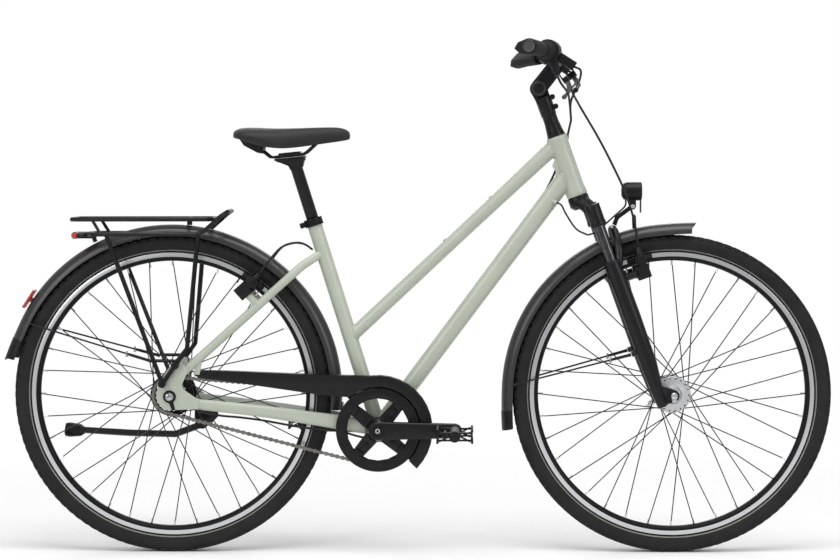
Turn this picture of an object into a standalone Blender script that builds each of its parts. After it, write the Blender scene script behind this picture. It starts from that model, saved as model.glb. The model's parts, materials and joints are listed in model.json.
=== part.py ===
"""City bicycle with a step-over frame, sprung fork, hub gear, rack, mudguards and chain guard.

Metres, +Z up. +X points to the front wheel and -Y is the drive side. The wheels stand on Z = 0,
and the origin lies on the ground under the middle of the whole length.
"""
import math

import bmesh
import bpy
from mathutils import Matrix, Vector

# Wheels
TYRE_RADIUS = 0.3535
TYRE_HALF_WIDTH = 0.0212
TREAD_FLAT = 0.0062
RIM_RADIUS = 0.3165
RIM_DEPTH = 0.0200
RIM_HALF_WIDTH = 0.0125
RIM_WALL = 0.0022
RIM_WELL = 0.0060
WHEELBASE = 1.1105
SPOKES = 36
SPOKE_RADIUS = 0.0009
SPOKE_LIFT = 0.0010
FRONT_FLANGE_RADIUS = 0.0405
REAR_FLANGE_RADIUS = 0.0480
FLANGE_OFFSET = 0.0285
FLANGE_THICKNESS = 0.0052
AXLE_RADIUS = 0.0048
REAR_AXLE_RADIUS = 0.0050

# Frame
CHAINSTAY_RUN = 0.4585
BRACKET_DROP = 0.0760
SEAT_ANGLE = math.radians(72.6)
SEAT_TUBE_LENGTH = 0.4880
SEAT_TUBE_RADIUS = 0.0162
HEAD_ANGLE = math.radians(70.5)
HEAD_TUBE_LENGTH = 0.1385
HEAD_TUBE_RADIUS = 0.0215
HEAD_TUBE_BORE = 0.0170
HEAD_LIP = 0.0018
BRACKET_SHELL_RADIUS = 0.0215
BRACKET_SHELL_HALF_WIDTH = 0.0340
BRACKET_BORE = 0.0178
DOWN_TUBE_RADIUS = 0.0188
TOP_TUBE_RADIUS = 0.0145
DOWN_TUBE_DROP = 0.0505
TOP_TUBE_DROP = 0.0155
TOP_TUBE_SEAT_HEIGHT = 0.2109
SEAT_STAY_HEIGHT = 0.0090
SEAT_STAY_WIDTH = 0.0068
REAR_SPACING = 0.0675
DROPOUT_THICKNESS = 0.0060
AXLE_SLOT_WIDTH = 0.0106

# Fork
FORK_RAKE = 0.0508
FORK_LENGTH = 0.4856
LEG_OFFSET = 0.0200
LEG_SPREAD = 0.0580
STEERER_RADIUS = 0.0142
STANCHION_RADIUS = 0.0128
FORK_TRAVEL = 0.0500
CROWN_BELOW_HEAD = 0.0040
LEG_TOP_DEPTH = 0.1590
LEG_BOTTOM_DEPTH = 0.5000
CROWN_DEPTH = 0.0775
STANCHION_OVERLAP = 0.1300
STEERER_ABOVE = 0.0760
ARCH_RADIUS = 0.0098
FRONT_DROPOUT = 0.0070
FRONT_BRAKE_DEPTH = 0.2040
FRONT_BOSS_AHEAD = 0.0632
STAY_BOSS_DEPTH = 0.3680
FRONT_SPACING = 0.0500
CAM_RADIUS = 0.0062
CAM_HALF_LENGTH = 0.0062
CAM_CHEEK = 0.0018

# Drive
CHAIN_PITCH = 0.0127
RING_TEETH = 40
SPROCKET_TEETH = 20
CHAIN_LINE = 0.0425
TOOTH_THICKNESS = 0.0022
CHAIN_HALF_WIDTH = 0.0040
CHAIN_HALF_HEIGHT = 0.0038
CRANK_LENGTH = 0.1700
CRANK_INNER = 0.0625
CRANK_THICKNESS = 0.0130
SPINDLE_RADIUS = 0.0110
DRIVER_RADIUS = 0.0190
DRIVER_END = 0.0600
GUARD_RING_OUTER = 0.0930
GUARD_RING_INNER = 0.0700
GUARD_RING_FACE = 0.0487
RING_INNER = 0.0690
LUG_OUTER = 0.0722
LUG_WIDTH = 0.0180
ROOT_DEPTH = 0.0080
TIP_DEPTH = 0.0050
SPIDER_ANGLE = math.radians(50.0)
SPIDER_THICKNESS = 0.0040
CRANK_BOSS_RADIUS = 0.0205
CRANK_EYE_RADIUS = 0.0162
PEDAL_LENGTH = 0.0800
PEDAL_WIDTH = 0.0900
PEDAL_HEIGHT = 0.0260
CHAIN_GUARD_OUTER = 0.1210
CHAIN_GUARD_INNER = 0.0965
CHAIN_GUARD_FACE = 0.0555
CHAIN_GUARD_DEPTH = 0.0210
CHAIN_GUARD_WALL = 0.0016
CHAIN_GUARD_BACK = 0.0885

# Mudguards
MUDGUARD_RADIUS = 0.3775
MUDGUARD_HALF_WIDTH = 0.0275
MUDGUARD_DEPTH = 0.0180
MUDGUARD_WALL = 0.0016
FLAP_KICK = 0.0070
FLAP_SLANT = math.radians(2.9)
REAR_MUDGUARD_TIP = math.radians(168.4)
REAR_MUDGUARD_END = math.radians(-5.6)
FRONT_MUDGUARD_TIP = math.radians(82.0)
FRONT_MUDGUARD_END = math.radians(191.8)
STAY_WIRE_RADIUS = 0.0022

# Seat
POST_RADIUS = 0.0136
POST_INSERTION = 0.1900
POST_EXPOSED = 0.1200
SADDLE_RAIL_RADIUS = 0.0035
SADDLE_RAIL_SPREAD = 0.0220

# Handlebar and stem
BAR_RADIUS = 0.0111
BAR_BEND_X = -0.0099
BAR_BEND_Y = 0.1000
BAR_BEND_RISE = 0.0196
BAR_STRAIGHT = 0.2120
BAR_SWEEP = math.radians(17.1)
GRIP_RADIUS = 0.0165
GRIP_CAP = 0.0035
GRIP_SIDES = 14
GRIP_EDGE = 5.0
RIGHT_GRIP_DROOP = math.radians(7.4)
LEFT_GRIP_DROOP = math.radians(32.0)
LEFT_GRIP_START = 0.0780
CLAMP_MIDDLE = 0.0250
HOUSING_START = 0.0380
HOUSING_END = 0.0640
HOUSING_RADIUS = 0.0255
TWIST_END = 0.1120
LEVER_EAR_INNER = 0.0065
LEVER_PIN_RADIUS = 0.0025
STEM_HEIGHT = 0.1135
STEM_PIVOT_RADIUS = 0.0185
STEM_ARM_ANGLE = math.radians(52.0)
STEM_ARM_LENGTH = 0.0690
STEM_HALF_WIDTH = 0.0200
STEM_TONGUE = 0.0100
STEM_PIN_RADIUS = 0.0050

# Rack
RACK_TUBE_RADIUS = 0.0052
RACK_HALF_WIDTH = 0.0600
RACK_RAIL_SPREAD = 0.0640
DECK_HEIGHT = 0.7437
LOWER_RAIL_HEIGHT = 0.7108

# Brakes
CALIPER_RADIUS = 0.0135
CALIPER_INNER = 0.0238
CALIPER_OUTER = 0.0600
BRAKE_BOSS_SPREAD = 0.0450
REAR_BOSS_HEIGHT = 0.0300
PAD_TRACK_RADIUS = 0.3100
PAD_HEIGHT = 0.0100
PAD_GAP = 0.0015
PAD_LENGTH = 0.0560
PAD_THICKNESS = 0.0080

# Cables
HOSE_RADIUS = 0.0025

# Running and seating clearances
CLEARANCE = 0.0003
RUNNING = 0.0005

REAR_REACH = (MUDGUARD_RADIUS + FLAP_KICK) * -math.cos(REAR_MUDGUARD_TIP)
REAR_AXLE_X = -(WHEELBASE + TYRE_RADIUS - REAR_REACH) / 2
WHEEL_STEPS = 32
RIGHT = -1
LEFT = 1


def at(x, z, y=0.0):
    """A point given forward of the rear axle and above the ground."""
    return Vector((REAR_AXLE_X + x, y, z))


ACROSS = Vector((0, 1, 0))
REAR_AXLE = at(0, TYRE_RADIUS)
FRONT_AXLE = at(WHEELBASE, TYRE_RADIUS)
BRACKET = at(CHAINSTAY_RUN, TYRE_RADIUS - BRACKET_DROP)
SEAT_UP = Vector((-math.cos(SEAT_ANGLE), 0, math.sin(SEAT_ANGLE)))
SEAT_BACK = Vector((-math.sin(SEAT_ANGLE), 0, -math.cos(SEAT_ANGLE)))
SEAT_TOP = BRACKET + SEAT_UP * SEAT_TUBE_LENGTH
STEER_DOWN = Vector((math.cos(HEAD_ANGLE), 0, -math.sin(HEAD_ANGLE)))
STEER_AHEAD = Vector((math.sin(HEAD_ANGLE), 0, math.cos(HEAD_ANGLE)))
HEAD_BOTTOM = FRONT_AXLE - STEER_AHEAD * FORK_RAKE - STEER_DOWN * FORK_LENGTH
HEAD_TOP = HEAD_BOTTOM - STEER_DOWN * HEAD_TUBE_LENGTH

scene = bpy.context.scene
for existing in list(bpy.data.objects):
    bpy.data.objects.remove(existing, do_unlink=True)
bicycle = bpy.data.collections.new("city_bike")
scene.collection.children.link(bicycle)
workshop = bpy.data.collections.new("cutters")
scene.collection.children.link(workshop)


# Materials
def finish(name, colour, roughness, metallic=0.0):
    material = bpy.data.materials.new(name)
    material.use_nodes = True
    shader = material.node_tree.nodes["Principled BSDF"]
    shader.inputs["Base Color"].default_value = (*colour, 1)
    shader.inputs["Roughness"].default_value = roughness
    shader.inputs["Metallic"].default_value = metallic
    return material


SAGE = finish("sage_enamel", (0.47, 0.53, 0.45), 0.25)
BLACK_PAINT = finish("black_powder_coat", (0.025, 0.025, 0.027), 0.45)
BLACK_PLASTIC = finish("black_plastic", (0.03, 0.03, 0.032), 0.5)
GREY_PLASTIC = finish("mudguard_plastic", (0.07, 0.07, 0.075), 0.5)
TYRE_RUBBER = finish("tyre_rubber", (0.02, 0.02, 0.02), 0.8)
GRIP_RUBBER = finish("grip_rubber", (0.05, 0.05, 0.055), 0.7)
SADDLE_SKIN = finish("saddle_cover", (0.035, 0.036, 0.038), 0.6)
POLISHED = finish("polished_aluminium", (0.75, 0.75, 0.77), 0.25, 1.0)
ANODISED = finish("black_anodised", (0.03, 0.03, 0.03), 0.35, 0.6)
STEEL = finish("dark_chrome", (0.2, 0.2, 0.21), 0.2, 1.0)
CHAIN_STEEL = finish("chain_steel", (0.25, 0.2, 0.15), 0.4, 1.0)
PAD_RUBBER = finish("pad_rubber", (0.03, 0.03, 0.03), 0.8)
CABLE_BLACK = finish("cable_black", (0.02, 0.02, 0.022), 0.5)
RED_LENS = finish("red_lens", (0.6, 0.01, 0.01), 0.15)
CLEAR_LENS = finish("clear_lens", (0.8, 0.85, 0.9), 0.05)


# Meshes in world coordinates
def mesh_of(graph):
    """Closes a bmesh, turns its faces outwards and returns it as a mesh."""
    bmesh.ops.remove_doubles(graph, verts=graph.verts, dist=1e-6)
    bmesh.ops.recalc_face_normals(graph, faces=graph.faces)
    if graph.calc_volume(signed=True) < 0:
        bmesh.ops.reverse_faces(graph, faces=graph.faces)
    mesh = bpy.data.meshes.new("shape")
    graph.to_mesh(mesh)
    graph.free()
    return mesh


def evaluated(obj):
    """The object's mesh with its modifiers applied and its matrix baked, and the object removed."""
    bpy.context.view_layer.update()
    depsgraph = bpy.context.evaluated_depsgraph_get()
    mesh = bpy.data.meshes.new_from_object(obj.evaluated_get(depsgraph))
    mesh.transform(obj.matrix_world)
    bpy.data.objects.remove(obj, do_unlink=True)
    return mesh


def helper(data):
    obj = bpy.data.objects.new("helper", data)
    workshop.objects.link(obj)
    return obj


def welded(mesh):
    graph = bmesh.new()
    graph.from_mesh(mesh)
    bpy.data.meshes.remove(mesh)
    return mesh_of(graph)


def facing(direction, centre=Vector((0, 0, 0)), up=Vector((0, 0, 1))):
    """A matrix whose Z axis points along direction, with X as near to up as it can be."""
    z_axis = Vector(direction).normalized()
    if abs(z_axis.dot(up)) > 0.99:
        up = Vector((1, 0, 0))
    y_axis = z_axis.cross(up).normalized()
    x_axis = y_axis.cross(z_axis)
    turn = Matrix((x_axis, y_axis, z_axis)).transposed().to_4x4()
    return Matrix.Translation(centre) @ turn


def rod(points, radius, bevel=2, closed=False):
    """A round bar along straight runs. A list of radii tapers it."""
    curve = bpy.data.curves.new("rod", "CURVE")
    curve.dimensions = "3D"
    curve.bevel_depth = 1.0
    curve.bevel_resolution = bevel
    curve.use_fill_caps = True
    spline = curve.splines.new("POLY")
    spline.points.add(len(points) - 1)
    radii = radius if isinstance(radius, (list, tuple)) else [radius] * len(points)
    for knot, point, size in zip(spline.points, points, radii):
        knot.co = (*point, 1)
        knot.radius = size
    spline.use_cyclic_u = closed
    return welded(evaluated(helper(curve)))


def smooth_path(points, per_span=4, closed=False):
    """Points of a Catmull-Rom curve through the given ones."""
    count = len(points)
    spans = count if closed else count - 1
    path = []
    for index in range(spans):
        if closed:
            p0, p1, p2, p3 = (points[(index + k) % count] for k in (-1, 0, 1, 2))
        else:
            p1, p2 = points[index], points[index + 1]
            p0 = points[index - 1] if index else p1 * 2 - p2
            p3 = points[index + 2] if index + 2 < count else p2 * 2 - p1
        for step in range(per_span):
            t = step / per_span
            path.append(
                (p1 * 2 + (p2 - p0) * t + (p0 * 2 - p1 * 5 + p2 * 4 - p3) * t * t
                 + (p1 * 3 - p0 - p2 * 3 + p3) * t ** 3) / 2
            )
    if not closed:
        path.append(points[-1].copy())
    return path


def turned(profile, direction, centre, steps=24, closed=False, phase=0.0):
    """A profile of (radius, height) turned about direction through centre."""
    graph = bmesh.new()
    knots = [graph.verts.new((radius, 0, height)) for radius, height in profile]
    for one, two in zip(knots, knots[1:]):
        graph.edges.new((one, two))
    if closed:
        graph.edges.new((knots[-1], knots[0]))
    mesh = bpy.data.meshes.new("profile")
    graph.to_mesh(mesh)
    graph.free()
    obj = helper(mesh)
    screw = obj.modifiers.new("turn", "SCREW")
    screw.axis = "Z"
    screw.steps = steps
    screw.render_steps = steps
    screw.use_merge_vertices = True
    screw.merge_threshold = 0.00001
    obj.matrix_world = facing(direction, centre) @ Matrix.Rotation(phase, 4, "Z")
    return welded(evaluated(obj))


def cylinder(start, end, radius, end_radius=None, sides=16):
    start, end = Vector(start), Vector(end)
    graph = bmesh.new()
    bmesh.ops.create_cone(
        graph,
        cap_ends=True,
        segments=sides,
        radius1=radius,
        radius2=radius if end_radius is None else end_radius,
        depth=(end - start).length,
        matrix=facing(end - start, (start + end) / 2),
    )
    return mesh_of(graph)


def clear_bore(start, end, radius, sides):
    """A cutter that leaves the running gap round a shaft of this radius, at its flats too."""
    return cylinder(start, end, (radius + CLEARANCE) / math.cos(math.pi / sides), sides=sides)


def ring(start, end, outer, inner, sides=24):
    """A round tube with an open bore."""
    length = (Vector(end) - Vector(start)).length
    profile = [(outer, length), (outer, 0), (inner, 0), (inner, length)]
    return turned(profile, Vector(end) - Vector(start), start, sides, closed=True)


def plate(outline, low, high, holes=()):
    """An outline of (x, z) in the bicycle's side view, from y = low to y = high."""
    curve = bpy.data.curves.new("plate", "CURVE")
    curve.dimensions = "2D"
    curve.fill_mode = "BOTH"
    curve.extrude = abs(high - low) / 2
    for loop in (outline, *holes):
        spline = curve.splines.new("POLY")
        spline.points.add(len(loop) - 1)
        for knot, point in zip(spline.points, loop):
            knot.co = (point[0], point[1], 0, 1)
        spline.use_cyclic_u = True
    obj = helper(curve)
    side_view = Matrix(((1, 0, 0, 0), (0, 0, -1, 0), (0, 1, 0, 0), (0, 0, 0, 1)))
    obj.matrix_world = Matrix.Translation((0, (low + high) / 2, 0)) @ side_view
    return welded(evaluated(obj))


def loft(sections, closed=False):
    """A skin over loops of equal count, with flat ends."""
    graph = bmesh.new()
    rings = [[graph.verts.new(point) for point in loop] for loop in sections]
    pairs = list(zip(rings, rings[1:]))
    if closed:
        pairs.append((rings[-1], rings[0]))
    for one, two in pairs:
        for k in range(len(one)):
            after = (k + 1) % len(one)
            graph.faces.new((one[k], one[after], two[after], two[k]))
    if not closed:
        graph.faces.new(rings[0][::-1])
        graph.faces.new(rings[-1])
    return mesh_of(graph)


def oval_tube(stations, sides=16, squareness=2.0, across=ACROSS):
    """A loft of ovals along stations of (centre, height, width), half sizes, width along across."""
    sections = []
    for index, (centre, height, width) in enumerate(stations):
        before = stations[max(index - 1, 0)][0]
        after = stations[min(index + 1, len(stations) - 1)][0]
        along = (after - before).normalized()
        side = (across - along * along.dot(across)).normalized()
        up = side.cross(along)
        loop = []
        for k in range(sides):
            angle = 2 * math.pi * (k + 0.5) / sides
            power = 2 / squareness
            c = math.copysign(abs(math.cos(angle)) ** power, math.cos(angle))
            s = math.copysign(abs(math.sin(angle)) ** power, math.sin(angle))
            loop.append(centre + side * width * c + up * height * s)
        sections.append(loop)
    return loft(sections)


def block(size, centre, bevel=0.0, direction=None, up=Vector((0, 0, 1)), segments=1):
    """A box whose third size lies along direction and whose first lies along up."""
    graph = bmesh.new()
    bmesh.ops.create_cube(graph, size=1.0)
    bmesh.ops.scale(graph, vec=size, verts=graph.verts)
    if bevel:
        bmesh.ops.bevel(
            graph, geom=graph.edges[:], offset=bevel, segments=segments, profile=0.5, affect="EDGES"
        )
    if direction is None:
        matrix = Matrix.Translation(centre)
    else:
        matrix = facing(direction, centre, up)
    bmesh.ops.transform(graph, matrix=matrix, verts=graph.verts)
    return mesh_of(graph)


def combined(base, add=(), cut=()):
    """One solid: base with every add joined on, then every cut taken away."""
    body = helper(base)
    tools = []
    for operation, meshes in (("UNION", add), ("DIFFERENCE", cut)):
        if not meshes:
            continue
        group = bpy.data.collections.new(operation.lower())
        workshop.children.link(group)
        for mesh in meshes:
            tool = bpy.data.objects.new("tool", mesh)
            group.objects.link(tool)
            tools.append(tool)
        step = body.modifiers.new(operation, "BOOLEAN")
        step.operation = operation
        step.operand_type = "COLLECTION"
        step.collection = group
        step.solver = "EXACT"
    result = evaluated(body)
    for tool in tools:
        bpy.data.objects.remove(tool, do_unlink=True)
    for group in list(workshop.children):
        bpy.data.collections.remove(group)
    return welded(result)


def carrier(name, location, parent=None):
    """An empty on a joint's axis, which carries one moving group."""
    empty = bpy.data.objects.new(name, None)
    empty.empty_display_size = 0.03
    bicycle.objects.link(empty)
    empty.parent = parent
    empty.location = Vector(location) - (parent.matrix_world.translation if parent else Vector())
    bpy.context.view_layer.update()
    return empty


def part(name, mesh, material, group=None, smooth=40):
    """A named piece, whose origin is its group's joint."""
    origin = group.matrix_world.translation if group else Vector()
    mesh.transform(Matrix.Translation(-origin))
    mesh.name = name
    mesh.materials.clear()
    mesh.materials.append(material)
    mesh.shade_smooth()
    mesh.set_sharp_from_angle(angle=math.radians(smooth))
    obj = bpy.data.objects.new(name, mesh)
    bicycle.objects.link(obj)
    obj.parent = group
    return obj


def polar(centre, radius, angle, y=0.0):
    """A point in the side view at an angle above the forward direction."""
    return centre + Vector((radius * math.cos(angle), y, radius * math.sin(angle)))


def arc(centre, radius, start, end, count):
    """Outline points (x, z) along an arc between two angles in degrees."""
    points = []
    for k in range(count + 1):
        angle = math.radians(start + (end - start) * k / count)
        points.append((centre[0] + radius * math.cos(angle), centre[1] + radius * math.sin(angle)))
    return points


def xz(point):
    return (point.x, point.z)


def steering_point(depth, ahead=0.0, y=0.0):
    """A point below the head tube's lower end, measured along the steering axis."""
    return HEAD_BOTTOM + STEER_DOWN * depth + STEER_AHEAD * ahead + ACROSS * y


# Groups that move, each on its joint's axis
steering = carrier("steering_axis", HEAD_BOTTOM)
suspension = carrier("suspension_axis", steering_point(0, LEG_OFFSET), steering)
front_wheel = carrier("front_wheel_axis", FRONT_AXLE, suspension)
rear_wheel = carrier("rear_wheel_axis", REAR_AXLE)
crankset = carrier("crank_axis", BRACKET)
kickstand_pivot = at(0.0560, 0.2900, 0.0790)
kickstand = carrier("kickstand_axis", kickstand_pivot)
seat_height = carrier("seat_post_axis", SEAT_TOP)


# Wheels
def tyre(centre):
    bead = RIM_RADIUS - RIM_WELL + CLEARANCE
    half = [
        (bead, RIM_HALF_WIDTH - RIM_WALL - CLEARANCE),
        (RIM_RADIUS + 0.0010, RIM_HALF_WIDTH - RIM_WALL - CLEARANCE),
        (RIM_RADIUS + 0.0165, TYRE_HALF_WIDTH),
        (TYRE_RADIUS - 0.0075, TYRE_HALF_WIDTH * 0.84),
        (TYRE_RADIUS, TREAD_FLAT),
    ]
    return wheel_ring(half, centre)


def wheel_ring(half, centre):
    """A ring from half its section, with a flat facet at the bottom of the wheel."""
    stretch = 1 / math.cos(math.pi / WHEEL_STEPS)
    profile = [(radius * stretch, y) for radius, y in half]
    profile += [(radius * stretch, -y) for radius, y in reversed(half)]
    return turned(profile, ACROSS, centre, WHEEL_STEPS, True, math.pi / WHEEL_STEPS)


def rim(centre):
    half = [
        (RIM_RADIUS - RIM_WELL, RIM_HALF_WIDTH - RIM_WALL),
        (RIM_RADIUS, RIM_HALF_WIDTH - RIM_WALL),
        (RIM_RADIUS, RIM_HALF_WIDTH),
        (RIM_RADIUS - 0.0115, RIM_HALF_WIDTH),
        (RIM_RADIUS - RIM_DEPTH, 0.0060),
    ]
    return wheel_ring(half[::-1], centre)


def hub_profile(flange_radius, barrel_radius, bore, half_length, flange_offset):
    """Half a hub's outline from its middle outwards, mirrored, with a bore through it."""
    half = [
        (barrel_radius, flange_offset - 0.0060),
        (flange_radius, flange_offset - FLANGE_THICKNESS / 2),
        (flange_radius, flange_offset + FLANGE_THICKNESS / 2),
        (barrel_radius * 0.86, flange_offset + 0.0035),
        (0.0150, half_length - 0.0040),
        (0.0115, half_length),
    ]
    outside = [(radius, -y) for radius, y in reversed(half)] + half
    return outside + [(bore, half_length), (bore, -half_length)]


def spokes(centre, flange_radius, side):
    """One side's spokes, laced in crossed pairs from the flange's edge to the rim."""
    wires = []
    per_side = SPOKES // 2
    rim_end = RIM_RADIUS - RIM_DEPTH - CLEARANCE
    wrap = 6 * math.pi / per_side
    for k in range(per_side):
        hole_angle = 2 * math.pi * (k + (0.0 if side == RIGHT else 0.5)) / per_side
        turn = 1 if k % 2 else -1
        start = polar(centre, flange_radius - 0.0045, hole_angle, side * FLANGE_OFFSET)
        start += ACROSS * turn * SPOKE_LIFT
        end = polar(centre, rim_end, hole_angle + turn * wrap, side * 0.0022)
        wires.append(cylinder(start, end, SPOKE_RADIUS, sides=3))
    return wires


def hub(centre, flange_radius, barrel_radius, bore, half_length):
    profile = hub_profile(flange_radius, barrel_radius, bore, half_length, FLANGE_OFFSET)
    body = turned(profile, ACROSS, centre, 18, closed=True)
    wires = spokes(centre, flange_radius, RIGHT) + spokes(centre, flange_radius, LEFT)
    return combined(body, wires)


part("front_tyre", tyre(FRONT_AXLE), TYRE_RUBBER, front_wheel)
part("front_rim", rim(FRONT_AXLE), POLISHED, front_wheel)
front_hub = hub(
    FRONT_AXLE, FRONT_FLANGE_RADIUS, 0.0300, AXLE_RADIUS + RUNNING, FRONT_SPACING - CLEARANCE
)
part("front_hub", front_hub, POLISHED, front_wheel)
part("rear_tyre", tyre(REAR_AXLE), TYRE_RUBBER, rear_wheel)
part("rear_rim", rim(REAR_AXLE), POLISHED, rear_wheel)
rear_hub_half_length = CHAIN_LINE - TOOTH_THICKNESS / 2 - CLEARANCE
rear_hub = hub(
    REAR_AXLE, REAR_FLANGE_RADIUS, 0.0380, REAR_AXLE_RADIUS + RUNNING, rear_hub_half_length
)
part("rear_hub", rear_hub, POLISHED, rear_wheel)


# Frame
def seat_point(height, back=0.0, y=0.0):
    """A point up the seat tube from the bottom bracket."""
    return BRACKET + SEAT_UP * height + SEAT_BACK * back + ACROSS * y


DROPOUT_OUTER = REAR_SPACING + DROPOUT_THICKNESS
RACK_FOOT_SPREAD = DROPOUT_OUTER + CLEARANCE + RACK_TUBE_RADIUS + 0.0006
DOWN_TUBE_START = steering_point(-DOWN_TUBE_DROP, -0.004)
TOP_TUBE_START = HEAD_TOP + STEER_DOWN * TOP_TUBE_DROP - STEER_AHEAD * 0.004
TOP_TUBE_END = seat_point(TOP_TUBE_SEAT_HEIGHT)
SEAT_STAY_TOP = seat_point(SEAT_TUBE_LENGTH - 0.0780)
GUARD_EYELET = at(0.0590, 0.4040)
RACK_FOOT = at(-0.0150, 0.3825)
RACK_UPPER_BOLT = at(0.0140, 0.4240)
REAR_BRAKE_BOSS = at(0.1936, 0.5533)
STAY_ALONG = Vector((0.746, 0, 0.666))
STAY_NORMAL = Vector((-0.666, 0, 0.746))


def seat_stay(side):
    route = [
        (SEAT_STAY_TOP, 0.0060),
        (at(0.2900, 0.6390), 0.0270),
        (at(0.2560, 0.6090), 0.0405),
        (at(0.1810, 0.5420), 0.0475),
        (at(0.0700, 0.4430), 0.0590),
        (at(0.0080, 0.3870), 0.0660),
    ]
    spine = [Vector((p.x, y * side, p.z)) for p, y in route]
    return oval_tube([(p, SEAT_STAY_HEIGHT, SEAT_STAY_WIDTH) for p in spine], 8)


def chain_stay(side):
    stations = [
        (at(0.0180, 0.3410, side * 0.0650), 0.0105, 0.0060),
        (at(0.0650, 0.3350, side * 0.0625), 0.0115, 0.0085),
        (at(0.2000, 0.3190, side * 0.0510), 0.0125, 0.0085),
        (at(0.3200, 0.3010, side * 0.0385), 0.0150, 0.0080),
        (at(0.3850, 0.2905, side * 0.0310), 0.0165, 0.0070),
        (BRACKET + Vector((-0.010, side * 0.0240, 0.002)), 0.0165, 0.0080),
    ]
    return oval_tube(stations, 8, 2.4)


def dropout(side):
    axle = xz(REAR_AXLE)
    outline = [
        (axle[0] - 0.0120, axle[1] - 0.0300),
        (axle[0] + 0.0240, axle[1] - 0.0290),
        (axle[0] + 0.0640, axle[1] - 0.0270),
        (axle[0] + 0.0640, axle[1] - 0.0080),
        (axle[0] + 0.0300, axle[1] + 0.0160),
        (axle[0] + 0.0270, axle[1] + 0.0260),
        (axle[0] + 0.0420, axle[1] + 0.0600),
        (axle[0] + 0.0270, axle[1] + 0.0740),
        (axle[0] + 0.0080, axle[1] + 0.0770),
        (axle[0] - 0.0120, axle[1] + 0.0480),
        (axle[0] - 0.0270, axle[1] + 0.0280),
    ]
    outline += arc(axle, 0.0290, 150, 225, 4)
    low, high = sorted((side * REAR_SPACING, side * DROPOUT_OUTER))
    return plate(outline, low, high)


def axle_slot(side):
    """Room for the axle: a round seat and a way out, down and a little forward."""
    axle = xz(REAR_AXLE)
    half = AXLE_SLOT_WIDTH / 2
    outline = arc(axle, half, 14, 194, 8)
    outline += [(outline[-1][0] + 0.0100, outline[-1][1] - 0.0400), (outline[0][0] + 0.0100, outline[0][1] - 0.0400)]
    low, high = sorted((side * (REAR_SPACING - 0.002), side * (DROPOUT_OUTER + 0.002)))
    return plate(outline, low, high)


LEFT_PORT = at(0.7925, 0.7400, 0.0250)
LEFT_PORT_WAY = Vector((0.50, 0.62, 0.60)).normalized()
RIGHT_PORT = at(0.8545, 0.7790, -0.0225)
RIGHT_PORT_WAY = Vector((0.75, -0.60, -0.28)).normalized()
PORT_LENGTH = 0.0140


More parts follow.
